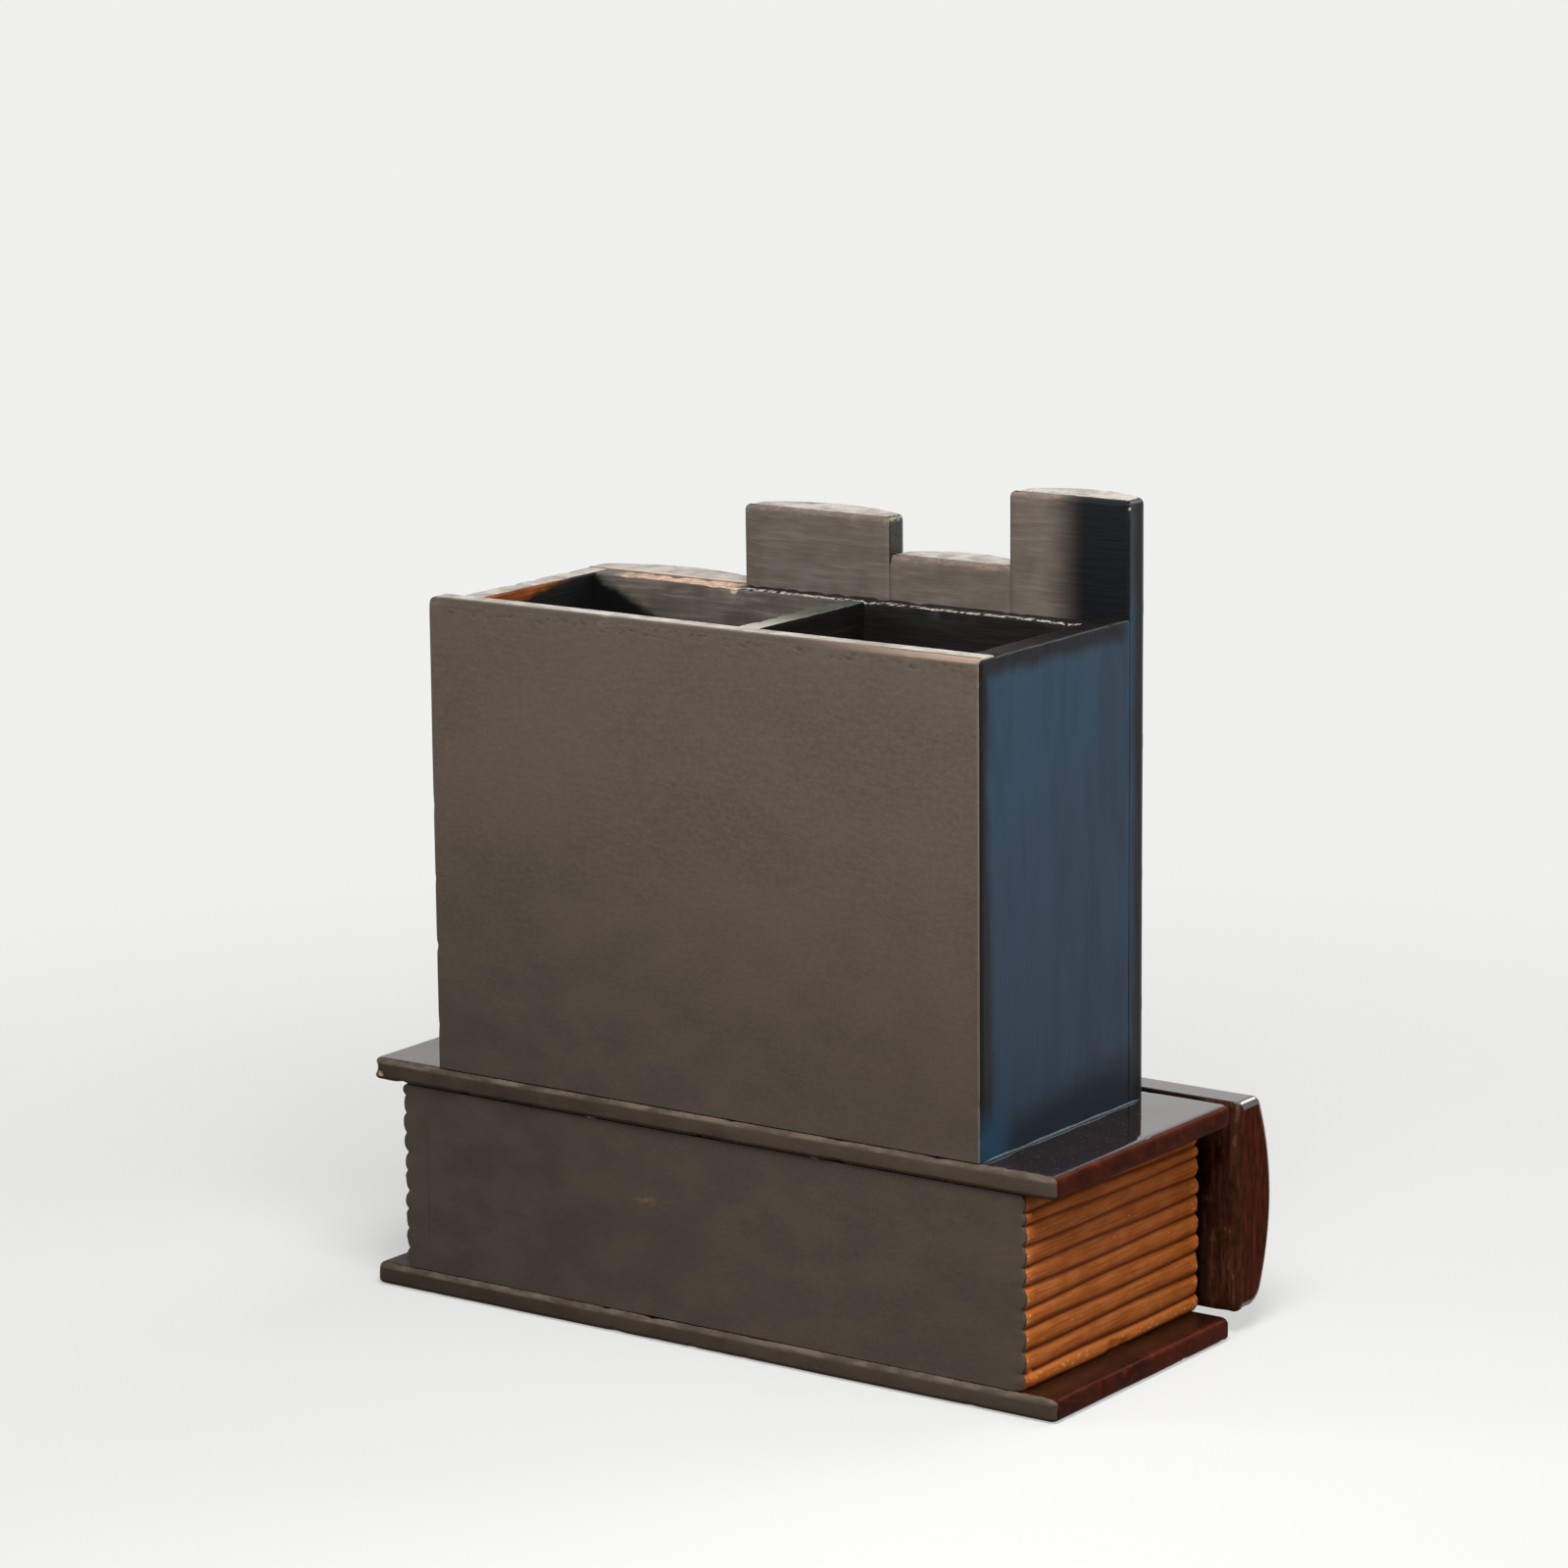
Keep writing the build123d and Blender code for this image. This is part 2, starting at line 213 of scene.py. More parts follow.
# Dents about some of the points: each is a bell curve of its own width and depth, the deepest one counts
def bellDents(points, places, widths, depths):
    apart = ((points[:, None, :] - places[None, :, :]) ** 2).sum(axis=2)
    return (depths * np.exp(-apart / widths ** 2)).max(axis=1)


# Depth of hand work below the true surface, in metres: slow waves, and dents along the worn edges
def handWork(points, edgeGap, work):
    waves = work["wave"] * mm * slowWaves(points)
    if not work["dents"]:
        return waves
    draw = np.random.default_rng(work["seed"])
    rim = np.flatnonzero(edgeGap < work["dentReach"] * mm)
    places = points[draw.choice(rim, work["dents"])]
    widths = draw.uniform(*work["dentWidth"], size=work["dents"]) * mm
    depths = draw.uniform(*work["dentShare"], size=work["dents"]) ** 2 * work["dent"] * mm
    return waves + bellDents(points, places, widths, depths)


# Depth of a piece's wear: its hand work, and chips that are listed, each with a place, a width and a
# depth. The chips also give the point values a share, 0 to 1.
def wornDepth(points, edgeGap, look, values):
    depth = handWork(points, edgeGap, {**handMade, **look.get("work", {})})
    if "chips" in look:
        chips = np.array(look["chips"]) * mm
        places, widths, depths = chips[:, :3], chips[:, 3], chips[:, 4]
        values["chip"] = bellDents(points, places, widths, np.ones(len(chips)))
        depth = depth + bellDents(points, places, widths, depths)
    return depth


# A row of crumbled pits under the top edge of the back: flat bell curves at random places along x
def rimPits(points, low, high, pits):
    draw = np.random.default_rng(pits["seed"])
    count, margins = pits["count"], np.array(pits["margins"]) * mm
    placeX = draw.uniform(low[0] + margins[0], high[0] - margins[1], count)
    placeZ = high[2] - draw.uniform(*pits["drop"], count) * mm
    long, tall = draw.uniform(*pits["long"], count) * mm, draw.uniform(*pits["tall"], count) * mm
    far = ((points[:, :1] - placeX) / long) ** 2 + ((points[:, 2:] - placeZ) / tall) ** 2
    onBack = points[:, 1] > high[1] - pits["skin"] * mm
    return np.exp(-far).max(axis=1) * onBack


# Scuffs on the flat inner side of a spine: bell-shaped dents at random places of it
def flatScuffs(points, flatY, scuffs):
    draw = np.random.default_rng(scuffs["seed"])
    flat = np.flatnonzero(points[:, 1] > flatY - scuffs["skin"] * mm)
    places = points[draw.choice(flat, scuffs["count"])]
    widths = draw.uniform(*scuffs["width"], scuffs["count"]) * mm
    depths = draw.uniform(*scuffs["share"], scuffs["count"]) * scuffs["deep"] * mm
    return bellDents(points, places, widths, depths)


# Material tools: a function that takes the output of a node adds its own nodes to the tree of that output

evenly = (0.3, 0.7)      # a noise that rises between these gives its two tones equal room


def isOutput(value):
    return isinstance(value, bpy.types.NodeSocket)


# A colour made linear. The output of a node stays as it is.
def tone(colour):
    if isOutput(colour):
        return colour
    share = np.array(colour) / 255
    linear = np.where(share > 0.04045, ((share + 0.055) / 1.055) ** 2.4, share / 12.92)
    return (*linear.tolist(), 1.0)


# One shader node, with its inputs linked or set
def put(kind, inputs=(), tree=None, **settings):
    inputs = dict(inputs)
    if tree is None:
        tree = next(value.id_data for value in inputs.values() if isOutput(value))
    node = tree.nodes.new("ShaderNode" + kind)
    for key, value in settings.items():
        setattr(node, key, value)
    for key, value in inputs.items():
        if isOutput(value):
            tree.links.new(value, node.inputs[key])
        else:
            node.inputs[key].default_value = value
    return node


def objectPlace(tree):
    return put("TexCoord", tree=tree).outputs["Object"]


def axisPlace(where, axis):
    return put("SeparateXYZ", {0: where}).outputs[axis]


# A value of the mesh's points, in the tree of the given output
def pointValue(output, name):
    return put("Attribute", tree=output.id_data, attribute_name=name).outputs["Fac"]


# Cloudy noise. Its grain is the size of the blots along x, y and z, and how much detail they have.
def blots(where, grain, rough=0.55):
    scaled = put("Mapping", {"Vector": where, "Scale": [1 / (side * mm) for side in grain[:3]]})
    return put("TexNoise", {"Vector": scaled.outputs[0], "Scale": 1.0, "Detail": grain[3],
                            "Roughness": rough}).outputs["Fac"]


# Several noises whose grains are in one dictionary
def noises(where, coat, *names):
    return [blots(where, coat[name]) for name in names]


# 0 below low, 1 above high, smooth between. High below low turns it round.
def rise(value, low, high):
    turn = low > high
    return put("MapRange", {"Value": value, "From Min": min(low, high), "From Max": max(low, high),
                            "To Min": float(turn), "To Max": float(not turn)},
               interpolation_type="SMOOTHSTEP").outputs["Result"]


# The same for a place, between two offsets from a plane
def slope(place, plane, offsets):
    return rise(place, plane + offsets[0] * mm, plane + offsets[1] * mm)


def axisSlope(where, axis, plane, offsets):
    return slope(axisPlace(where, axis), plane, offsets)


# 1 in a stripe of a value, which it enters and leaves smoothly
def stripe(value, start, full, last, end):
    return times(rise(value, start, full), rise(value, end, last))


# One number out of several, with a Math node for each step
def chain(operation, values):
    total = values[0]
    for value in values[1:]:
        total = put("Math", {0: total, 1: value}, operation=operation).outputs[0]
    return total


def times(*values):
    return chain("MULTIPLY", values)


def plus(*values):
    return chain("ADD", values)


def minus(*values):
    return chain("SUBTRACT", values)


def most(*values):
    return chain("MAXIMUM", values)


def over(*values):
    return chain("DIVIDE", values)


def unsigned(value):
    return put("Math", {0: value}, operation="ABSOLUTE").outputs[0]


# A noise that swings evenly about zero, over a reach
def aboutZero(noise, reach):
    return times(minus(noise, 0.5), reach)


# The first colour where share is 0, the second where it is 1. A strength weakens the share.
def blendTone(share, first, second, strength=None):
    share = share if strength is None else times(share, strength)
    return put("Mix", {0: share, 6: tone(first), 7: tone(second)}, data_type="RGBA").outputs[2]


def blendNumber(share, first, second):
    return put("Mix", {0: share, 2: first, 3: second}).outputs[0]


def between(share, first, second):
    return put("MapRange", {"Value": share, "To Min": first, "To Max": second}).outputs["Result"]


# How far a point is past a plane across one axis, 0 to 1, along a ragged line
def pastPlane(where, axis, plane, soft, ragged, grain=(2, 2, 2, 3)):
    shifted = plus(axisPlace(where, axis), aboutZero(blots(where, grain), ragged * mm))
    return slope(shifted, plane, (-soft, soft))


# A new finish, and the place on the object that its patterns start from
def newMaterial(name, specular, coat=0.0, coatRough=0.25):
    material = bpy.data.materials.new(name)
    material.use_nodes = True
    inputs = material.node_tree.nodes["Principled BSDF"].inputs
    inputs["Specular IOR Level"].default_value = specular
    inputs["Coat Weight"].default_value = coat
    inputs["Coat Roughness"].default_value = coatRough
    return material, objectPlace(material.node_tree)


# Links a finish to its shader. The height, 0 to 1, is a bump of the given depth.
def dress(material, colour, roughness, height, depth, metallic=0.0):
    inputs = material.node_tree.nodes["Principled BSDF"].inputs
    bump = put("Bump", {"Height": height, "Distance": depth * mm, "Strength": 1.0})
    links = {"Base Color": colour, "Roughness": roughness, "Normal": bump.outputs["Normal"]}
    if isOutput(metallic):
        links["Metallic"] = metallic
    else:
        inputs["Metallic"].default_value = metallic
    for inputName, output in links.items():
        material.node_tree.links.new(output, inputs[inputName])
    return material


# Finishes

greyCoat = {"deep": (70, 62, 54), "main": (78, 69, 61), "pale": (86, 77, 68), "crumb": (56, 49, 43),
            "rub": (92, 82, 72), "tan": (132, 114, 98), "dark": (50, 42, 36), "low": (55, 48, 41),
            "lowPale": (65, 57, 48), "lowX": (-30, 60), "lowZ": (120, 40), "highlightX": (0, -45), "uprightLightX": (0, 1),
            "cloud": (26, 26, 18, 2), "ripple": (3.2, 3.2, 0.9, 3), "mottle": (1.2, 1.2, 1.0, 2),
            "pores": (0.45, 0.45, 0.4, 2), "patch": (14, 14, 9, 3), "rough": (0.4, 0.52), "depth": 0.09}
bareTone = (168, 152, 132)


# Grey-brown paint of the whole back: nearly even, with slow patches and a faint ripple across, and darker
# low down and towards +X as painted shade. Gives colour, roughness and height.
def greyPaint(where):
    cloud, ripple, mottle = noises(where, greyCoat, "cloud", "ripple", "mottle")
    pores, patch = noises(where, greyCoat, "pores", "patch")
    colour = blendTone(rise(cloud, *evenly), greyCoat["deep"], greyCoat["main"])
    shade = plus(times(ripple, 0.45), times(mottle, 0.55))
    colour = blendTone(rise(shade, *evenly), colour, greyCoat["pale"], 0.75)
    # Painted shade: the low tone takes over towards the bottom and towards +X
    lowShadeTone = blendTone(rise(patch, 0.35, 0.65), greyCoat["low"], greyCoat["lowPale"])
    sideways = between(axisSlope(where, "X", 0, greyCoat["lowX"]), 0.62, 0.95)
    paintedLowShade = times(axisSlope(where, "Z", 0, greyCoat["lowZ"]), sideways)
    colour = blendTone(paintedLowShade, colour, lowShadeTone)
    height = plus(times(ripple, 0.3), times(mottle, 0.4), times(pores, 0.25))
    return colour, between(mottle, *greyCoat["rough"]), height


# A short worn scratch: a flat ellipse about a point, broken up by noise
def scratchShare(where, scratch):
    offset = put("VectorMath", {0: where, 1: [c * mm for c in scratch["middle"]]}, operation="SUBTRACT")
    scaled = put("VectorMath", {0: offset.outputs[0], 1: [1 / (c * mm) for c in scratch["half"]]},
                 operation="MULTIPLY")
    far = put("VectorMath", {0: scaled.outputs[0]}, operation="LENGTH").outputs["Value"]
    return times(rise(far, 1.0, 0.5), rise(blots(where, scratch["grain"]), 0.4, 0.7))


# Bare pale wood where a chip is set
def chipped(colour):
    return blendTone(rise(pointValue(colour, "chip"), 0.4, 0.75), colour, bareTone)


# The painted back. Where a start along x is given, its upper edge carries a painted tan highlight from there
# towards -X and painted shade on the rest, and its upright edge at -X a painted highlight, the one at +X
# painted shade.
def greyBack(name, scratch=None, highlightFromX=None):
    material, where = newMaterial(name, 0.15)
    colour, roughness, height = greyPaint(where)
    if highlightFromX is not None:
        # Painted highlight and shade: the upper edge tan towards -X and dark elsewhere, the upright edge pale
        # at -X and dark at +X
        highlightShare = axisSlope(where, "X", highlightFromX, greyCoat["highlightX"])
        upperEdgeLightAndShade = blendTone(highlightShare, greyCoat["dark"], greyCoat["tan"])
        colour = blendTone(rise(pointValue(where, "upperEdge"), 0.1, 0.7), colour, upperEdgeLightAndShade, 0.75)
        uprightLightAndShade = blendTone(axisSlope(where, "X", 0, greyCoat["uprightLightX"]), greyCoat["rub"], greyCoat["dark"])
        colour = blendTone(rise(pointValue(where, "uprightEdge"), 0.1, 0.8), colour, uprightLightAndShade, 0.8)
    colour = blendTone(rise(pointValue(where, "pit"), 0.3, 0.75), colour, greyCoat["crumb"], 0.7)
    if scratch:
        colour = blendTone(scratchShare(where, scratch), colour, scratch["tone"])
    return dress(material, colour, roughness, height, greyCoat["depth"])


brownCoat = {"deep": (40, 13, 4), "main": (62, 22, 8), "pale": (84, 34, 14), "rub": (104, 66, 44),
             "speck": (62, 52, 46), "specular": 0.015, "coat": 0.0, "coatRough": 0.25, "depth": 0.1,
             "streak": (14, 3, 1.6, 4), "cloud": (9, 9, 9, 3), "fine": (0.5, 0.5, 0.5, 2),
             "specks": (0.6, 0.6, 0.6, 2), "haze": (5, 5, 5, 3), "dullX": (55, 70),
             "flake": (1.6, 1.6, 1.6, 3), "flakeReach": 0.8, "broken": (6, 6, 2, 4)}
coverGloss = {"coverTop": {"deep": (16, 9, 7), "main": (24, 13, 10), "pale": (34, 20, 15), "specular": 0.9,
                           "coat": 0.35, "coatRough": 0.05, "rough": (0.03, 0.1), "depth": 0.02},
              "lowCoverTop": {"deep": (24, 9, 3), "main": (34, 13, 5), "pale": (46, 19, 9), "specular": 0.2,
                              "coat": 0.04, "coatRough": 0.2, "rough": (0.26, 0.36), "depth": 0.02}}


# Brown book board with streaks along it, flaked along its edges, whose back edge carries the grey paint of
# the back. A top face has a gloss: smooth enough to mirror what stands on it, with fine specks.
def brownBoard(name, greyFrom, gloss=None):
    look = {**brownCoat, **(gloss or {})}
    material, where = newMaterial(name, look["specular"], look["coat"], look["coatRough"])
    streak, cloud, fine = noises(where, look, "streak", "cloud", "fine")
    colour = blendTone(rise(cloud, *evenly), look["deep"], look["main"])
    colour = blendTone(rise(streak, 0.5, 0.8), colour, look["pale"], 0.8)
    roughness = between(cloud, 0.24, 0.4)
    height = plus(times(streak, 0.5), times(fine, 0.25))
    if gloss:
        specks, haze = noises(where, look, "specks", "haze")
        colour = blendTone(rise(specks, 0.63, 0.7), colour, look["speck"])
        roughness = plus(between(haze, *look["rough"]), times(axisSlope(where, "X", 0, look["dullX"]), 0.3))
    flake = rise(blots(where, look["flake"], 0.65), 0.75, 0.85)
    nearEdge = slope(pointValue(where, "edgeGap"), 0, (look["flakeReach"], 0))
    colour = blendTone(times(nearEdge, flake), colour, look["rub"])
    greyColour, greyRough, greyHeight = greyPaint(where)
    # Wear and painted highlight: the grey turns pale in a broken line along the upper back edges
    rubbed = times(rise(pointValue(where, "upperEdge"), 0.3, 0.85),
                   rise(blots(where, look["broken"]), 0.36, 0.66))
    greyColour = blendTone(rubbed, greyColour, greyCoat["rub"])
    grey = pastPlane(where, "Y", greyFrom, 0.15, 1.1)
    colour = chipped(blendTone(grey, colour, greyColour))
    roughness = blendNumber(grey, roughness, greyRough)
    return dress(material, colour, roughness, blendNumber(grey, height, greyHeight), look["depth"])


pageCoat = {"groove": (86, 38, 9), "main": (143, 78, 30), "pale": (160, 93, 45), "tip": (180, 103, 44),
            "fleck": (206, 150, 104), "fibre": (116, 58, 19), "shade": (58, 25, 11),
            "grain": (0.8, 12, 0.45, 4), "cloud": (7, 7, 4, 3), "rare": (0.9, 1.5, 0.8, 2),
            "common": (0.8, 1.2, 0.8, 2), "frontY": (5, 0), "backY": (-4, 0), "lowZ": (4.6, 3.8),
            "shadeZ": (-0.3, 1.2), "shadeFall": 0.04, "greyY": 0.8}


# Stained page ribs: dark in the grooves, with painted shade under the cover that widens towards the front,
# paler on the crests, more orange at both ends and on the lowest rib, with small worn flecks there
def pageRibs(name, low, high):
    material, where = newMaterial(name, 0.04)
    crest, depth, level = pointValue(where, "crest"), axisPlace(where, "Y"), axisPlace(where, "Z")
    fibre, cloud, rare, common = noises(where, pageCoat, "grain", "cloud", "rare", "common")
    colour = blendTone(rise(cloud, *evenly), pageCoat["main"], pageCoat["pale"])
    colour = blendTone(rise(fibre, 0.48, 0.66), colour, pageCoat["fibre"], 0.6)
    ends = most(slope(depth, low[1], pageCoat["frontY"]), slope(depth, high[1], pageCoat["backY"]))
    bright = most(ends, times(slope(level, low[2], pageCoat["lowZ"]), 0.7))
    colour = blendTone(bright, colour, pageCoat["tip"], 0.7)
    colour = blendTone(rise(crest, 0.72, 0.06), colour, pageCoat["groove"])
    # Painted shade under the cover: the shade tone along the top, reaching lower towards the front
    shadeLine = plus(level, times(minus(high[1], depth), pageCoat["shadeFall"]))
    colour = blendTone(slope(shadeLine, high[2], pageCoat["shadeZ"]), colour, pageCoat["shade"], 0.85)
    flecks = most(rise(rare, 0.7, 0.74), times(rise(common, 0.58, 0.64), bright))
    fleck = times(flecks, rise(crest, 0.6, 0.9))
    colour = blendTone(fleck, colour, pageCoat["fleck"], 0.8)
    colour = blendTone(rise(pointValue(where, "chip"), 0.35, 0.6), colour, pageCoat["tip"])
    grey = pastPlane(where, "Y", high[1] - pageCoat["greyY"] * mm, 0.1, 0.3)
    colour = blendTone(grey, colour, greyPaint(where)[0])
    height = plus(times(fibre, 0.6), times(fleck, 0.4))
    return dress(material, colour, between(fibre, 0.4, 0.56), height, 0.12)


blueEnd = {"deep": (23, 36, 49), "main": (29, 46, 62), "pale": (34, 55, 71), "burnt": (11, 8, 9),
           "shade": (13, 19, 26), "pool": (21, 54, 75), "upper": (42, 44, 49)}
tanEnd = {"deep": (84, 54, 30), "main": (108, 72, 42), "pale": (132, 94, 60), "burnt": (26, 17, 12),
          "shade": (44, 28, 16), "pool": (92, 54, 26), "upper": (112, 86, 62)}
endBrush = {"brush": (0.7, 0.7, 24, 4), "broad": (8, 8, 34, 2), "ragged": (3, 3, 9, 3), "wander": 2.6,
            "sag": 1.8, "sagZ": (-20, 12), "mainZ": (-8, 10), "footZ": (13, 1), "shadeZ": (8, 0),
            "shadeRise": 0.14, "upperZ": (1, 6), "topBand": (-5.6, -2.0), "topStop": (3, 9),
            "backBand": (-4.2, -1.4), "frontBand": (4.5, 1.2), "poolZ": (12, 4), "poolY": (-12, -3)}


# Paint of a cup end, brushed upright, burnished nearly black along the rim and the two upright edges, more
# saturated where it pooled at the back foot, with painted light towards the top and painted shade at the foot
def endPaint(name, coat, backY, frontY, topZ, footZ):
    material, where = newMaterial(name, 0.12)
    depth, level = axisPlace(where, "Y"), axisPlace(where, "Z")
    brush, broad, ragged = noises(where, endBrush, "brush", "broad", "ragged")
    mainFrom, mainTo = np.array(endBrush["mainZ"]) * mm
    sagFrom, sagTo = np.array(endBrush["sagZ"]) * mm
    # Painted light: paler towards the top
    colour = blendTone(rise(level, topZ + mainFrom, footZ + mainTo), coat["pale"], coat["main"])
    colour = blendTone(rise(broad, 0.4, 0.7), colour, coat["deep"], 0.6)
    colour = blendTone(rise(brush, 0.5, 0.75), colour, coat["pale"], 0.4)
    # Painted shade: darker at the foot, the shade tone reaching higher towards the front
    colour = blendTone(slope(level, footZ, endBrush["footZ"]), colour, coat["deep"], 0.75)
    lifted = minus(level, times(minus(backY, depth), endBrush["shadeRise"]))
    colour = blendTone(slope(lifted, footZ, endBrush["shadeZ"]), colour, coat["shade"], 0.8)
    colour = blendTone(slope(level, topZ, endBrush["upperZ"]), colour, coat["upper"])
    wander = aboutZero(ragged, endBrush["wander"] * mm)
    rear = plus(depth, wander, times(rise(level, topZ + sagFrom, footZ + sagTo), endBrush["sag"] * mm))
    top = slope(plus(level, wander), topZ, endBrush["topBand"])
    top = times(top, slope(depth, frontY, endBrush["topStop"]))
    front = slope(minus(depth, wander), frontY, endBrush["frontBand"])
    burnt = most(top, slope(rear, backY, endBrush["backBand"]), front)
    colour = blendTone(burnt, colour, coat["burnt"], 0.94)
    pool = times(slope(level, footZ, endBrush["poolZ"]), slope(rear, backY, endBrush["poolY"]))
    colour = chipped(blendTone(pool, colour, coat["pool"], 0.85))
    height = plus(times(brush, 0.7), times(broad, 0.5))
    return dress(material, colour, between(brush, 0.32, 0.46), height, 0.07)


nearBlack = (9, 8, 8)
insideCoat = {"cloud": (10, 10, 10, 3), "ragged": (5, 5, 3, 3), "wander": 3, "line": (-1.2, 1.4),
              "night": (3, -3)}


# Wood or thin paint inside the holder, with its grain along one axis. Where a reach is given, it darkens on
# the way down from the rim as painted shade, and below a ragged line that drops along an axis from a start it
# is
# nearly black: on the front board that line and the dark towards the divider are painted shadows.
def insideWood(name, dark, main, pale, grain, rough=(0.42, 0.6), depth=0.12, reach=None, specular=0.15):
    material, where = newMaterial(name, specular)
    fibre, cloud = blots(where, grain, 0.6), blots(where, insideCoat["cloud"])
    colour = blendTone(rise(cloud, *evenly), dark, main)
    colour = blendTone(rise(fibre, 0.45, 0.78), colour, pale)
    if reach:
        # Painted shade and shadow: darker on the way down, nearly black below the ragged line
        below = minus(reach["rimZ"], axisPlace(where, "Z"))
        line = times(minus(axisPlace(where, reach["axis"]), reach["start"]), reach["drop"])
        ragged = aboutZero(blots(where, insideCoat["ragged"]), insideCoat["wander"] * mm)
        under = slope(plus(minus(below, line), ragged), 0, insideCoat["line"])
        under = most(under, times(slope(below, 0, reach["fade"]), reach["fadeShare"]))
        # Painted shadow of the divider
        if "nightX" in reach:
            under = most(under, times(axisSlope(where, "X", reach["nightX"], insideCoat["night"]), 0.96))
        colour = blendTone(under, colour, nearBlack)
    return dress(material, chipped(colour), between(fibre, *rough), fibre, depth)


rimCoat = {"dark": (62, 56, 50), "main": (106, 99, 91), "pale": (150, 142, 132), "copper": (142, 110, 88),
           "copperDeep": (102, 74, 58), "peach": (164, 138, 118), "fleck": (150, 142, 130),
           "green": (44, 48, 42), "greenPale": (62, 66, 58), "cloud": (5, 5, 3, 3),
           "grit": (0.9, 0.9, 0.9, 4), "peachLine": (4, 4, 4, 3), "greenCloud": (4, 6, 4, 3),
           "greenPaleY": (-26, -3),
           "frontGrit": (1.4, 1.4, 1.4, 4), "patch": (6, 6, 6, 3), "cornerX": (-9, -4), "firstX": (-2, 2),
           "innerStrip": 1.6}


# Varnished top edges whose pale grey is a painted sheen, and peach-coloured beyond peachY where that is given
def rimPaint(name, peachY=None):
    material, where = newMaterial(name, 0.5, coat=0.15)
    cloud, grit = noises(where, rimCoat, "cloud", "grit")
    # Painted sheen: the pale grey stands for the gloss on dark paint
    colour = blendTone(rise(cloud, 0.3, 0.65), rimCoat["main"], rimCoat["pale"])
    colour = blendTone(rise(grit, 0.6, 0.72), colour, rimCoat["dark"], 0.6)
    if peachY is not None:
        peach = pastPlane(where, "Y", peachY, 1.2, 3.0, rimCoat["peachLine"])
        colour = blendTone(peach, colour, rimCoat["peach"], 0.8)
    return dress(material, colour, between(grit, 0.38, 0.52), grit, 0.04)


# Top of the divider: greenish grey, painted pale towards the back rim as a sheen like the rims
def dividerPaint(name, backY):
    material, where = newMaterial(name, 0.2)
    cloud = blots(where, rimCoat["greenCloud"])
    colour = blendTone(rise(cloud, *evenly), rimCoat["green"], rimCoat["greenPale"])
    colour = blendTone(axisSlope(where, "Y", backY, rimCoat["greenPaleY"]), colour, rimCoat["pale"], 0.85)
    return dress(material, colour, between(cloud, 0.36, 0.5), cloud, 0.06)


# Top of the front board: rubbed to bare copper-coloured wood before the low first spine, dark before the
# others, where only flecks along the inner edge are rubbed pale
def frontRimPaint(name, innerY, firstX, cornerX):
    material, where = newMaterial(name, 0.2)
    grit, patch = noises(where, rimCoat, "frontGrit", "patch")
    placeX = axisPlace(where, "X")
    bare = blendTone(rise(grit, 0.42, 0.6), rimCoat["peach"], rimCoat["copper"])
    bare = blendTone(rise(patch, 0.5, 0.7), bare, rimCoat["copperDeep"], 0.7)
    bare = blendTone(slope(placeX, cornerX, rimCoat["cornerX"]), bare, rimCoat["dark"])
    innerStrip = pastPlane(where, "Y", innerY - rimCoat["innerStrip"] * mm, 0.3, 2.0)
    dark = blendTone(times(innerStrip, rise(grit, 0.44, 0.56)), nearBlack, rimCoat["fleck"])
    colour = blendTone(slope(placeX, firstX, rimCoat["firstX"]), dark, bare)
    return dress(material, chipped(colour), between(grit, 0.36, 0.6), grit, 0.25)


spineBackCoat = {"dark": (78, 70, 63), "main": (88, 80, 73), "pale": (98, 90, 83), "copper": (122, 98, 82),
                 "night": (5, 6, 8), "streak": (9, 9, 0.9, 4), "cloud": (7, 7, 5, 3),
                 "rubbed": (2.6, 2.6, 1.0, 4), "topGap": (2.6, 0.4), "nightX": (5, -5)}


# Grey paint on the backs of the upright spines: faint streaks across, rubbed to copper along the top.
# Where nightX is given, it turns nearly black towards -X.
def spineBack(name, nightX=None):
    material, where = newMaterial(name, 0.15)
    streak, cloud, rubbed = noises(where, spineBackCoat, "streak", "cloud", "rubbed")
    colour = blendTone(rise(cloud, *evenly), spineBackCoat["dark"], spineBackCoat["main"])
    colour = blendTone(rise(streak, 0.45, 0.75), colour, spineBackCoat["pale"], 0.7)
    nearTop = rise(pointValue(where, "topGap"), *spineBackCoat["topGap"])
    colour = blendTone(times(nearTop, rise(rubbed, 0.5, 0.66)), colour, spineBackCoat["copper"], 0.6)
    if nightX is not None:
        night = axisSlope(where, "X", nightX, spineBackCoat["nightX"])
        colour = blendTone(night, colour, spineBackCoat["night"])
    return dress(material, chipped(colour), between(streak, 0.42, 0.56), streak, 0.1)


scuffCoat = {"deep": (42, 21, 13), "main": (62, 35, 24), "pale": (82, 49, 35), "scuff": (98, 74, 61),
             "gapShade": (25, 14, 10), "gapShadeX": (1.0, -2.5), "streak": (1.1, 1.1, 9, 4),
             "patch": (1.6, 1.6, 3.0, 4)}


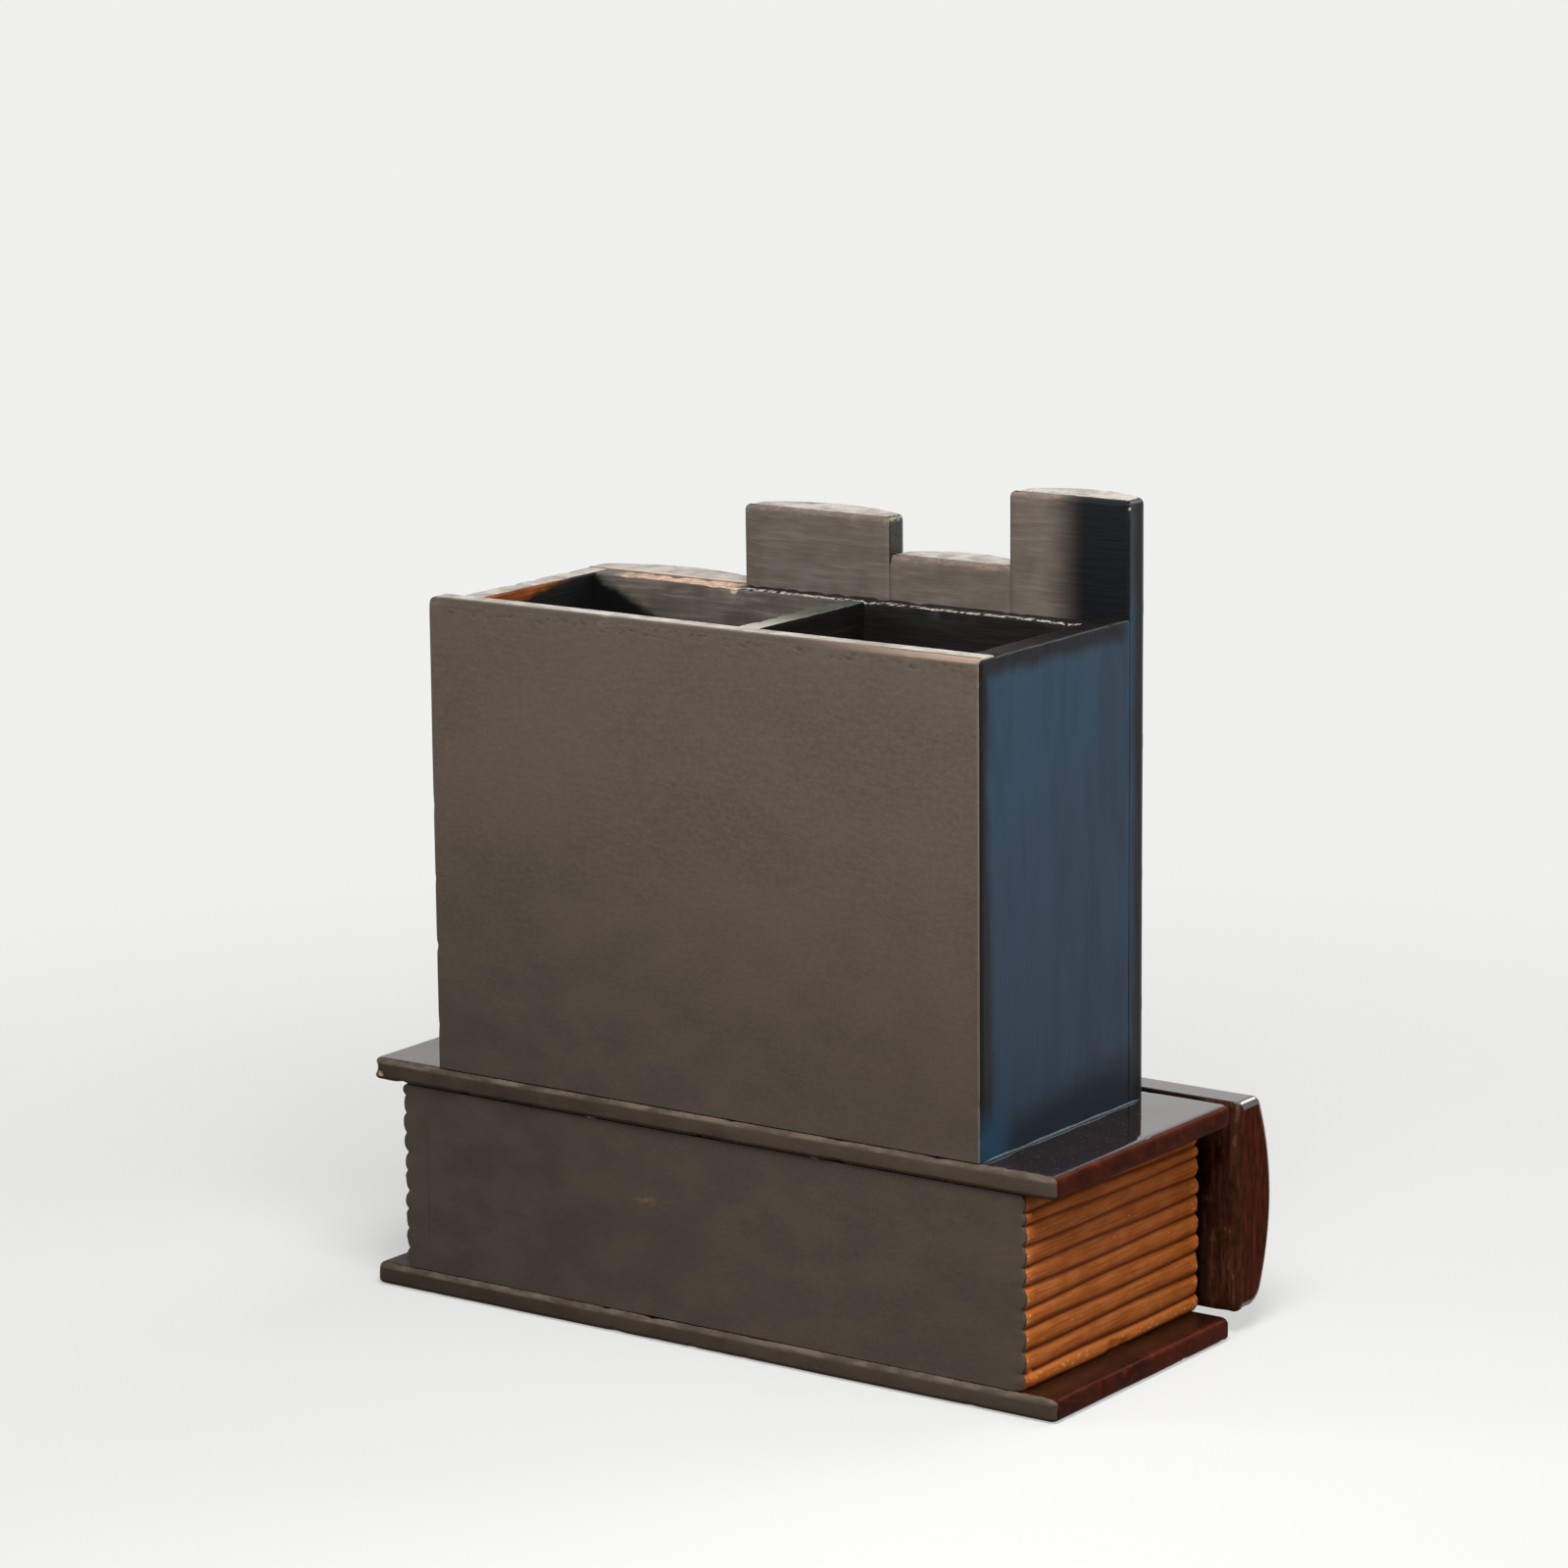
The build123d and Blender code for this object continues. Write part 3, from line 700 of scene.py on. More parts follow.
# Inner and end faces of the drawer's spine: dark stain with upright streaks, scuffed pale by a share.
# The inner face is darker between the given x and its negative, where the closed drawer hides it: painted
# shade of the narrow gap beside the page panels.
def scuffedStain(name, coat, scuffShare, depth, gapShadeX=None):
    material, where = newMaterial(name, 0.01)
    streak, patch = noises(where, scuffCoat, "streak", "patch")
    colour = blendTone(rise(patch, *evenly), coat["deep"], coat["main"])
    colour = blendTone(rise(streak, 0.45, 0.75), colour, coat["pale"])
    scuff = times(rise(patch, 0.56, 0.66), rise(streak, 0.42, 0.6))
    colour = blendTone(scuff, colour, scuffCoat["scuff"], scuffShare)
    if gapShadeX is not None:
        # Painted shade of the gap between the page panels and the drawer's spine
        gapShade = slope(unsigned(axisPlace(where, "X")), gapShadeX, scuffCoat["gapShadeX"])
        colour = blendTone(gapShade, colour, scuffCoat["gapShade"])
    height = plus(times(streak, 0.5), times(patch, 0.7))
    return dress(material, colour, between(streak, 0.3, 0.5), height, depth)


leatherCoat = {"gilt": (150, 116, 58), "burnt": (16, 12, 11), "labelPanel": 3.0, "lozenge": (4.2, 5.4),
               "lineOne": (0.7, 0.85, 1.15, 1.3), "lineTwo": (1.8, 1.9, 2.1, 2.2), "labelGap": (2.3, 2.5),
               "burntGap": (3.4, 0.5), "giltGap": (0.8, 2.0), "topGap": (1.6, 0.2), "rough": (0.32, 0.48),
               "grain": 0.1, "gloss": 0.35, "crackle": 1.6, "cloud": (7, 7, 7, 3),
               "fine": (0.6, 0.6, 0.6, 3), "kept": (1.5, 1.5, 1.5, 4)}


# Aged leather-look paint of a book spine: crackled, rubbed pale on the raised bands, with dull gilt lines
# beside the bands, a lozenge in each panel and one darker bare label, burnished dark along both sides
def spinePaint(name, look):
    look = {**leatherCoat, **look}
    material, where = newMaterial(name, look["gloss"])
    bandGap, front = pointValue(where, "bandGap"), pointValue(where, "front")
    cloud, fine, kept = noises(where, look, "cloud", "fine", "kept")
    crackle = put("TexVoronoi", {"Vector": where, "Scale": 1 / (look["crackle"] * mm)},
                  feature="DISTANCE_TO_EDGE").outputs["Distance"]
    colour = blendTone(rise(cloud, *evenly), look["deep"], look["main"])
    inPanel = put("Math", {0: pointValue(where, "panel"), 1: look["labelPanel"], 2: 0.2},
                  operation="COMPARE").outputs[0]
    onLabel = times(inPanel, rise(bandGap, *look["labelGap"]), front)
    colour = blendTone(onLabel, colour, look["label"])
    colour = blendTone(rise(crackle, 0.08, 0.0), colour, look["deep"], 0.5)
    sideGap = plus(pointValue(where, "sideGap"), aboutZero(cloud, 3.0))
    colour = blendTone(rise(sideGap, *look["burntGap"]), colour, look["burnt"], 0.9)
    rubbed = times(rise(bandGap, 0.0, -0.9), rise(fine, 0.42, 0.58), front)
    tips = times(rise(pointValue(where, "topGap"), *look["topGap"]), rise(fine, 0.46, 0.6))
    colour = blendTone(most(rubbed, tips), colour, look["pale"])
    across, along = [unsigned(pointValue(where, value)) for value in ("panelAcross", "panelAlong")]
    reach = plus(over(across, look["lozenge"][0]), over(along, look["lozenge"][1]))
    lines = [stripe(bandGap, *look["lineOne"]), stripe(bandGap, *look["lineTwo"])]
    lozenge = [stripe(reach, 0.84, 0.88, 1.0, 1.04), rise(reach, 0.32, 0.26)]      # a ring and its heart
    gilt = times(most(*lines, *lozenge), front, rise(sideGap, *look["giltGap"]), rise(kept, 0.36, 0.5))
    colour = blendTone(gilt, colour, look["gilt"])
    height = plus(times(rise(crackle, 0.0, 0.1), 0.5), times(fine, 0.4))
    return dress(material, colour, between(cloud, *look["rough"]), height, look["grain"], times(gilt, 0.8))


steelCoat = {"dark": (120, 116, 106), "pale": (176, 172, 160), "cloud": (0.8, 0.8, 0.8, 4)}


# Dull zinc-plated steel of screws and brads
def fastenerSteel(name):
    material, where = newMaterial(name, 0.5)
    cloud = blots(where, steelCoat["cloud"])
    colour = blendTone(cloud, steelCoat["dark"], steelCoat["pale"])
    return dress(material, colour, between(cloud, 0.3, 0.5), cloud, 0.03, metallic=1.0)


paintPlaces = {"spineEdge": 4.6, "greyFrom": 1.2, "peachFrom": 2.5, "highlightFrom": -22, "nightFrom": -52,
               "boardNight": 3, "endStart": 11}
scratchPlace = {"middle": (12.5, 40.6, 29.0), "half": (6.0, 4.0, 1.2), "tone": (100, 75, 60),
                "grain": (1.8, 1.8, 0.8, 4)}
spineLooks = {
    "tanSpine": {"deep": (84, 54, 30), "main": (124, 84, 50), "pale": (170, 134, 94), "label": (66, 30, 21)},
    "greenSpine": {"deep": (24, 34, 23), "main": (42, 54, 37), "pale": (104, 102, 76), "label": (78, 26, 19)},
    "redSpine": {"deep": (56, 15, 12), "main": (90, 27, 20), "pale": (144, 84, 62), "label": (30, 23, 20)},
    "blueSpine": {"deep": (24, 35, 47), "main": (38, 56, 73), "pale": (98, 106, 108), "label": (64, 24, 19)},
    "brownSpine": {"deep": (30, 13, 8), "main": (52, 23, 14), "pale": (84, 50, 33), "label": (34, 25, 18),
                   "labelPanel": 2.0, "rough": (0.2, 0.32), "grain": 0.03, "gloss": 0.45},
}
cupLow, cupHigh = boxOf("cup_back_panel")
frontLow, frontHigh = boxOf("cup_front_board")
dividerX, firstX = boxOf("cup_divider")[0][0], boxOf("first_book_spine")[0][0]
spineEdgeY = frontLow[1] - paintPlaces["spineEdge"] * mm         # where the upright spines' flat sides end
endSpan = (cupHigh[1], spineEdgeY, cupHigh[2], cupLow[2])
greyFromY = boxOf("top_cover")[1][1] - paintPlaces["greyFrom"] * mm
rimZ, endX = frontHigh[2], frontHigh[0]
# In a reach, the rim, the start and the night are places in the frame, in metres
# On the front board the ragged line is a painted shadow of the end panel, and the dark near the divider a
# painted shadow of the divider
boardReach = {"rimZ": rimZ, "axis": "X", "start": endX, "drop": -0.46, "fade": (3, 12), "fadeShare": 0.5,
              "nightX": dividerX + paintPlaces["boardNight"] * mm}
endReach = {"rimZ": rimZ, "axis": "Y", "start": frontHigh[1] + paintPlaces["endStart"] * mm, "drop": 0.2,
            "fade": (0, 10), "fadeShare": 0.4}
finish.update({
    "cupGrey": greyBack("cupGreyPaint", highlightFromX=paintPlaces["highlightFrom"] * mm),
    "baseGrey": greyBack("baseGreyPaint", scratch=scratchPlace),
    "coverEdge": brownBoard("coverEdgeStain", greyFromY),
    "coverTop": brownBoard("coverTopVarnish", greyFromY, coverGloss["coverTop"]),
    "lowCoverTop": brownBoard("lowCoverVarnish", greyFromY, coverGloss["lowCoverTop"]),
    "page": pageRibs("pageRibStain", *boxOf("left_page_panel")),
    "blue": endPaint("bluePaint", blueEnd, *endSpan),
    "tan": endPaint("tanPaint", tanEnd, *endSpan),
    "cupInside": insideWood("cupInsideStain", (11, 10, 9), (15, 13, 12), (24, 21, 19), (12, 12, 0.9, 5),
                            specular=0.05),
    "boardInside": insideWood("frontBoardPaint", (68, 61, 55), (84, 77, 70), (104, 96, 88), (10, 10, 0.9, 5),
                              reach=boardReach),
    "orangeInside": insideWood("orangeInsideStain", (80, 36, 11), (104, 52, 19), (130, 72, 33),
                               (12, 12, 0.9, 5), reach=endReach),
    "rim": rimPaint("rimVarnish"),
    "dividerRim": dividerPaint("dividerRimPaint", cupLow[1]),
    "peachRim": rimPaint("peachRimVarnish", frontLow[1] - paintPlaces["peachFrom"] * mm),
    "frontRim": frontRimPaint("frontRimPaint", frontHigh[1], firstX, endX),
    "spineBack": spineBack("spineBackPaint"),
    "nightBack": spineBack("nightBackPaint", nightX=paintPlaces["nightFrom"] * mm),
    "scuffed": scuffedStain("drawerSpineInside", scuffCoat, 0.55, 0.2, boxOf("right_page_panel")[1][0]),
    "spineEnd": scuffedStain("drawerSpineEnd", brownCoat, 0.1, 0.08),
    "drawerWood": insideWood("drawerWood", (146, 108, 68), (172, 132, 88), (196, 158, 112),
                             (22, 22, 1.1, 5)),
    "bead": insideWood("beadPaint", (20, 34, 42), (30, 48, 58), (52, 74, 84), (3, 3, 3, 5),
                       rough=(0.25, 0.4), depth=0.05),
    "steel": fastenerSteel("fastenerSteel"),
})
for name, look in spineLooks.items():
    finish[name] = spinePaint(name + "Paint", look)
print("finishes ready,", len(finish))


# Boards

# Page ribs: between two grooves the panel's outer face rises to a flat crest, as one minus a power of the
# distance from the rib's middle line. The ribs differ a little in height, their lines wander, and the upper
# ones lie closer together towards the front.
def cutRibs(points, low, high, ribs):
    draw = np.random.default_rng(ribs["seed"])
    grooves = np.concatenate([[0.0], ribs["grooves"], [(high[2] - low[2]) / mm]])
    level = (points[:, 2] - low[2]) / mm
    forward = (high[1] - points[:, 1]) / (high[1] - low[1])
    level = level + ribs["fan"] * forward * np.clip(level - ribs["fanFrom"], 0, None)
    turn = points[:, 1] / (ribs["wanderLength"] * mm) + ribs["phase"] * level
    level = level + ribs["wander"] * np.sin(turn)
    rib = np.clip(np.searchsorted(grooves, level, side="right") - 1, 0, len(grooves) - 2)
    away = np.abs(2 * (level - grooves[rib]) / (grooves[rib + 1] - grooves[rib]) - 1)
    height = 1 - ribs["uneven"] * draw.random(len(grooves))[rib]
    crest = height * (1 - np.clip(away, 0, 1) ** ribs["power"])
    share = (points[:, 0] - low[0]) / (high[0] - low[0])
    share = share if ribs["side"] > 0 else 1 - share
    sunk = points.copy()
    sunk[:, 0] -= ribs["side"] * share * ribs["depth"] * mm * (1 - crest)
    return sunk, crest


# Builds one board over its node, with soft edges, wear and a finish for each side
def dressBoard(node, body, board):
    low, high = boxOf(node)
    trim = np.array(board.get("trim", (0,) * 6), dtype=float).reshape(3, 2) * mm
    low, high = low + trim[:, 0], high - trim[:, 1]
    step, fine = board.get("step", (1.3, 1.3, 1.3)), board.get("fine", {})
    points, quads, outward, edgeGap, cut = softBoard(low, high, board["edges"], step, fine)
    values = {"edgeGap": edgeGap, "uprightEdge": 2 * np.abs(outward[:, 0] * outward[:, 1]),
              "upperEdge": 2 * np.clip(outward[:, 2], 0, 1) * np.hypot(outward[:, 0], outward[:, 1])}
    depth = wornDepth(points, edgeGap, board, values)
    if "pits" in board:
        values["pit"] = rimPits(points, low, high, board["pits"])
        depth = depth + values["pit"] * board["pits"]["deep"] * mm
    if "ribs" in board:
        points, values["crest"] = cutRibs(points, low, high, board["ribs"])
    ways = outward[quads].mean(axis=1)
    names, chosen = faceFinishes(ways, board["main"], board.get("sides", {}))
    if "rimDepth" in board:                          # beyond it the top carries the paint of the back
        beyond = points[quads].mean(axis=1)[:, 1] > low[1] + board["rimDepth"] * mm
        chosen[(ways[:, 2] > 0.9) & beyond] = 0
    worn = points - outward * depth[:, None]
    piece = layMesh(node + "_dressed", worn, quads.tolist(), values, names, chosen, cut)
    seatPiece(piece, node, body)


# Edges and trims are x low, x high, y low, y high, z low, z high. Chips are x, y, z, width, depth.
coverBoard = {"slot": "cover_brown", "main": "coverEdge", "edges": (1.8, 1.8, 1.3, 1.8, 1.3, 1.5)}
coverWork = {"wave": 0.16, "dents": 60, "dent": 0.5, "dentReach": 1.2}
pageBoard = {"slot": "page_wood", "main": "page", "sides": {"+y": ("baseGrey", flatSide)},
             "step": (1.5, 0.9, 0.27)}
pageWork = {"wave": 0.1, "dent": 0.4, "dents": 40}
pageRib = {"grooves": (3.5, 8.0, 12.4, 16.6, 20.8, 25.0, 29.2, 33.2, 36.0), "depth": 0.85, "power": 2.8,
           "uneven": 0.16, "wander": 0.18, "wanderLength": 9, "phase": 0.6, "fan": 0.06, "fanFrom": 14.0,
           "side": -1, "seed": 5}
evenPitch = 4.15
evenRib = {**pageRib, "grooves": [evenPitch * rib for rib in range(1, 10)], "side": 1, "seed": 6}
caseBoards = {
    "bottom_cover": {**coverBoard, "sides": {"+z": ("lowCoverTop", 0.97)}, "work": {**coverWork, "seed": 11}},
    "top_cover": {**coverBoard, "sides": {"+z": ("coverTop", 0.94), "+y": ("coverEdge", 0.2)},
                  "work": {**coverWork, "seed": 12}, "fine": {"x": (0, 6, 0.5)},
                  "chips": [(84.6, 41.0, 47.2, 1.5, 1.0), (82.6, 41.5, 46.0, 1.0, 0.6)]},
    "left_page_panel": {**pageBoard, "edges": (0.5, 0, 0.4, 0.4, 0, 0), "ribs": pageRib,
                        "work": {**pageWork, "seed": 13},
                        "chips": [(-77.4, 8, 5.6, 1.6, 0.9), (-77.4, 4, 5.4, 1.2, 0.7),
                                  (-77.4, 37.5, 8.4, 1.0, 0.6), (-77.4, 39.6, 5.8, 1.2, 0.6)]},
    "right_page_panel": {**pageBoard, "edges": (0, 0.5, 0.4, 0.4, 0, 0), "ribs": evenRib,
                         "work": {**pageWork, "seed": 14}},
    "base_back_panel": {"slot": "back_grey", "main": "baseGrey", "edges": (0, 0, 0.2, 0.2, 0, 0),
                        "sides": {"-y": ("drawerWood", flatSide)}, "work": {"dents": 0}},
    "cup_back_panel": {"slot": "back_grey", "main": "cupGrey", "edges": (0.9, 0.9, 0, 1.3, 0, 1.3),
                       "sides": {"-y": ("cupInside", flatSide), "-x": ("blue", flatSide),
                                 "+x": ("tan", flatSide), "+z": ("rim", 0.94)},
                       "step": (0.8, 0.7, 1.3), "fine": {"z": (0, 4.5, 0.25)}, "work": {"seed": 16},
                       "rimDepth": 3.3,
                       "pits": {"seed": 3, "count": 120, "margins": (4, 2), "drop": (1.2, 3.2),
                                "long": (0.25, 0.8), "tall": (0.15, 0.3), "deep": 0.1, "skin": 0.5}},
    "left_end_panel": {"slot": "blue_board", "main": "blue", "edges": (0.9, 0.5, 0, 0, 0, 0.9),
                       "sides": {"+x": ("cupInside", flatSide), "+z": ("cupInside", flatSide)},
                       "work": {"seed": 17, "dents": 14}},
    "right_end_panel": {"slot": "tan_board", "main": "tan", "edges": (0.5, 0.9, 0, 0, 0, 0.9),
                        "sides": {"-x": ("orangeInside", flatSide), "+z": ("rim", flatSide)},
                        "work": {"seed": 18, "dents": 14}},
    "cup_front_board": {"slot": "inner_wood", "main": "boardInside", "edges": (0, 0, 0.3, 0.5, 0, 0.5),
                        "sides": {"+z": ("frontRim", flatSide)}, "fine": {"z": (0, 3, 0.4)},
                        "step": (0.8, 0.8, 1.3), "chips": [(25.6, -7.7, 147.0, 1.5, 0.6)],
                        "work": {"seed": 19, "dent": 0.7, "dents": 60}},
    "cup_divider": {"slot": "inner_wood", "main": "cupInside", "edges": (0.5, 0.5, 0, 0, 0, 0.5),
                    "trim": (0, 0, 1.3, 1.3, 0, 0), "sides": {"+z": ("dividerRim", flatSide)},
                    "work": {"seed": 20}},
}
for node, board in caseBoards.items():
    dressBoard(node, "case", board)
print("case boards dressed,", len(caseBoards))

drawerBoard = {"slot": "drawer_wood", "main": "drawerWood", "edges": (0.4,) * 6}
drawerWork = {"wave": 0.08, "dent": 0.25, "dents": 20}
drawerBoards = {
    "drawer_front_board": {"work": {**drawerWork, "seed": 31}},
    "drawer_left_side": {"work": {**drawerWork, "seed": 32}},
    "drawer_right_side": {"work": {**drawerWork, "seed": 33}},
    "drawer_back": {"work": {**drawerWork, "seed": 34}},
    "drawer_bottom": {"work": {**drawerWork, "seed": 35}, "trim": (1.3, 1.3, 1.3, 1.3, 0, 0)},
}
for node, look in drawerBoards.items():
    dressBoard(node, "drawer", {**drawerBoard, **look})
print("drawer boards dressed,", len(drawerBoards))


# Book spines

spineShape = {"edge": 6.0, "crown": 11.5, "corners": (1.6, 1.6), "bandHeight": 3.0, "bandRise": 0.9,
              "bandSoft": 0.6, "bandShares": (0.16, 0.38, 0.60, 0.82), "tipRadius": 1.2,
              "step": 1.3, "bandReach": 1.9, "bandClear": 2.0, "bandRings": 20, "tipRings": 7, "capRings": 7,
              "capLeft": 0.1}


# The section of a spine: up one side, round a corner, over the crown, round the other corner, down the
# other side and back along the flat. The crown is a parabola from the edge thickness to its middle.
# Gives places across, places outward, the share that a raised band lifts, and 1 where it is the crown.
def spineSection(width, shape):
    half, (first, last) = width / 2, np.array(shape["corners"]) * mm
    edge, crown = shape["edge"] * mm, shape["crown"] * mm
    crownCount, sideCount, flatCount, cornerCount = 32, 6, 23, 9
    turn = np.linspace(np.pi / 2, 0, cornerCount)
    reach, fall = 1 - np.sin(turn), 1 - np.cos(turn)
    overCrown = np.linspace(half - first, last - half, crownCount + 2)[1:-1]
    top = np.concatenate([half - first * reach, overCrown, (last * reach - half)[::-1]])
    drop = np.concatenate([first * fall, np.zeros(crownCount), (last * fall)[::-1]])
    dome = 1 - (top / half) ** 2
    topOut = edge + (crown - edge) * dome - drop
    up = np.linspace(0, 1, sideCount + 1)[:-1]
    flat = np.linspace(-half, half, flatCount + 2)[1:-1]
    across = np.concatenate([np.full(sideCount, half), top, np.full(sideCount, -half), flat])
    out = np.concatenate([up * topOut[0], topOut, up[::-1] * topOut[-1], np.zeros(flatCount)])
    front = np.concatenate([np.zeros(sideCount), np.ones(len(top)), np.zeros(sideCount + flatCount)])
    lift = np.concatenate([np.zeros(sideCount), dome, np.zeros(sideCount + flatCount)])
    return across, out, lift, front


# Places along a spine: even, closer across the raised bands and round the tips
def ringPlaces(length, bands, tip, shape):
    even = np.arange(0, length, shape["step"] * mm)
    away = np.abs(even[:, None] - bands).min(axis=1)
    even = even[(away > shape["bandClear"] * mm) & (even > tip) & (even < length - tip)]
    acrossBand = np.linspace(-shape["bandReach"], shape["bandReach"], shape["bandRings"]) * mm
    inTip = np.linspace(0, tip, shape["tipRings"])
    places = np.concatenate([even, (bands[:, None] + acrossBand).ravel(), inTip, length - inTip])
    return np.unique(np.round(places, 7))


# Carries the section along a spine. Where a raised band crosses, the crown swells out by a rounded step,
# and at a rounded end the section draws in by a quarter circle. Both ends close in shrinking rings.
# Local axes: across the spine, outward from its flat, along its length.
def spineMoulding(width, length, shape, roundEnds):
    across, out, lift, front = spineSection(width, shape)
    bands = np.array(shape["bandShares"]) * length
    halfBand, tip = shape["bandHeight"] * mm / 2, shape["tipRadius"] * mm
    along = ringPlaces(length, bands, tip, shape)
    into = np.clip((halfBand - np.abs(along[:, None] - bands).min(axis=1)) / (shape["bandSoft"] * mm), 0, 1)
    swell = shape["bandRise"] * mm * np.sqrt(into * (2 - into))
    toTip = np.minimum(np.where(roundEnds[0], along, tip), np.where(roundEnds[1], length - along, tip))
    drawIn = tip * (1 - np.sqrt(1 - np.clip(1 - toTip / tip, 0, 1) ** 2))
    tangent = np.stack([np.roll(across, -1) - np.roll(across, 1), np.roll(out, -1) - np.roll(out, 1)])
    normal = np.stack([tangent[1], -tangent[0]]) / np.linalg.norm(tangent, axis=0)
    normal *= np.sign((normal * np.stack([across, out - out.mean()])).sum())
    wide = across - drawIn[:, None] * normal[0]
    deep = out + swell[:, None] * lift - drawIn[:, None] * normal[1]
    rings = np.stack([wide, deep, np.broadcast_to(along[:, None], wide.shape)], axis=-1)
    middle = np.array([0, out.mean(), 0])
    shrink = np.linspace(1, shape["capLeft"], shape["capRings"] + 1)[1:, None, None] * [1, 1, 0] + [0, 0, 1]
    whole = np.concatenate([(middle + (rings[0] - middle) * shrink)[::-1], rings,
                            middle + (rings[-1] - middle) * shrink])
    count, around = whole.shape[:2]
    ring = np.repeat(np.arange(count), around)
    onCap = (ring < len(shrink)) | (ring >= count - len(shrink))
    points = whole.reshape(-1, 3)
    outward = np.tile(np.stack([normal[0], normal[1], np.zeros(around)], axis=1), (count, 1))
    outward[onCap] = np.where(points[onCap, 2:] > length / 2, [0, 0, 1], [0, 0, -1])
    values = panelValues(points, bands, halfBand, length, roundEnds)
    values["sideGap"] = (width / 2 - np.abs(points[:, 0])) / mm
    values["front"] = np.where(onCap, 0, np.tile(front, count))
    return points, tubeFaces(count, around), values, outward


# Where each point is on its spine, in millimetres: its gap to the nearest band, to the middle of its panel
# and to the nearest rounded end
def panelValues(points, bands, halfBand, length, roundEnds):
    along = points[:, 2]
    edges = np.concatenate([[0.0], bands, [length]])
    panel = np.clip(np.searchsorted(edges, along) - 1, 0, len(bands))
    panelMiddle = (edges[panel] + edges[panel + 1]) / 2
    bandGap = np.abs(points[:, 2:] - bands).min(axis=1) - halfBand
    topGap = np.minimum(np.where(roundEnds[0], along, length), length - along)
    return {"bandGap": bandGap / mm, "panelAcross": points[:, 0] / mm, "panel": panel.astype(float),
            "panelAlong": (along - panelMiddle) / mm, "topGap": topGap / mm}


# Turns a moulding's own axes to the object's: upright, or lying along x, with its flat towards +Y
def turnSpine(local, lying):
    return np.stack([local[:, 2], -local[:, 1], local[:, 0]], axis=1) if lying else local * [1, -1, 1]


# Builds one spine over its node, with raised bands, wear and a finish for each side
def dressSpine(node, body, look):
    low, high = boxOf(node)
    middle, size, lying = (low + high) / 2, high - low, look.get("lying", False)
    width, length = (size[2], size[0]) if lying else (size[0], size[2])
    origin = np.array([low[0], high[1], middle[2]] if lying else [middle[0], high[1], low[2]])
    shape = {**spineShape, **look.get("shape", {})}
    local, faces, values, outward = spineMoulding(width, length, shape, look["roundEnds"])
    points, outward = origin + turnSpine(local, lying), turnSpine(outward, lying)
    noEdge = 9.0                                     # end faces count as far from a worn edge
    edgeGap = np.where(values["topGap"] > 0, values["topGap"], noEdge) * mm
    depth = wornDepth(points, edgeGap, look, values)
    if "scuffs" in look:
        depth = depth + flatScuffs(points, high[1], look["scuffs"])
    points = points - outward * depth[:, None]
    faces = faceOutwards(points, faces)
    ways = np.array([outward[face].mean(axis=0) for face in faces])
    names, chosen = faceFinishes(ways, look["main"], look["sides"])
    piece = layMesh(node + "_dressed", points, faces, values, names, chosen)
    seatPiece(piece, node, body)


spineWork = {"wave": 0.12, "dents": 30, "dent": 0.45, "dentReach": 1.0}
backAndTop = {"+y": ("spineBack", flatSide), "+z": ("rim", 0.3)}
uprightSpine = {"roundEnds": (False, True), "sides": backAndTop}
bookSpines = {
    "first_book_spine": {"slot": "tan_spine", "main": "tanSpine", "work": {**spineWork, "seed": 41},
                         "sides": {**backAndTop, "+z": ("peachRim", 0.3), "+x": ("tan", flatSide)},
                         "shape": {"tipRadius": 0.5}},
    "second_book_spine": {"slot": "green_spine", "main": "greenSpine", "work": {**spineWork, "seed": 42}},
    "third_book_spine": {"slot": "red_spine", "main": "redSpine", "work": {**spineWork, "seed": 43}},
    "fourth_book_spine": {"slot": "blue_spine", "main": "blueSpine", "work": {**spineWork, "seed": 44},
                          "sides": {**backAndTop, "+y": ("nightBack", flatSide), "-x": ("blue", flatSide)},
                          "chips": [(-67.2, -13.2, 170.2, 0.8, 0.5)]},
}
for node, look in bookSpines.items():
    dressSpine(node, "case", {**uprightSpine, **look})

drawerSpine = {"slot": "brown_spine", "main": "brownSpine", "lying": True, "roundEnds": (True, True),
               "sides": {"+z": ("coverTop", 0.97), "+y": ("scuffed", 0.6), "-x": ("spineEnd", 0.3),
                         "+x": ("spineEnd", 0.3)},
               "shape": {"edge": 8.5, "crown": 13.5, "corners": (1.4, 3.2), "tipRadius": 1.6,
                         "bandShares": (0.14, 0.36, 0.64, 0.86)},
               "work": {**spineWork, "seed": 45},
               "scuffs": {"seed": 46, "count": 160, "width": (0.7, 2.0), "share": (0.2, 1), "deep": 0.35,
                          "skin": 0.1}}
dressSpine("drawer_spine", "drawer", drawerSpine)
print("spines dressed,", len(bookSpines) + 1)


paintBead = {"from": -17.5, "to": 40.0, "radius": 0.5, "wander": 0.35, "waves": (5.3, 2.9, 1.7), "sink": 0.1,
             "rings": 90, "turns": 7, "taper": 0.04, "tip": 0.08, "seed": 51}


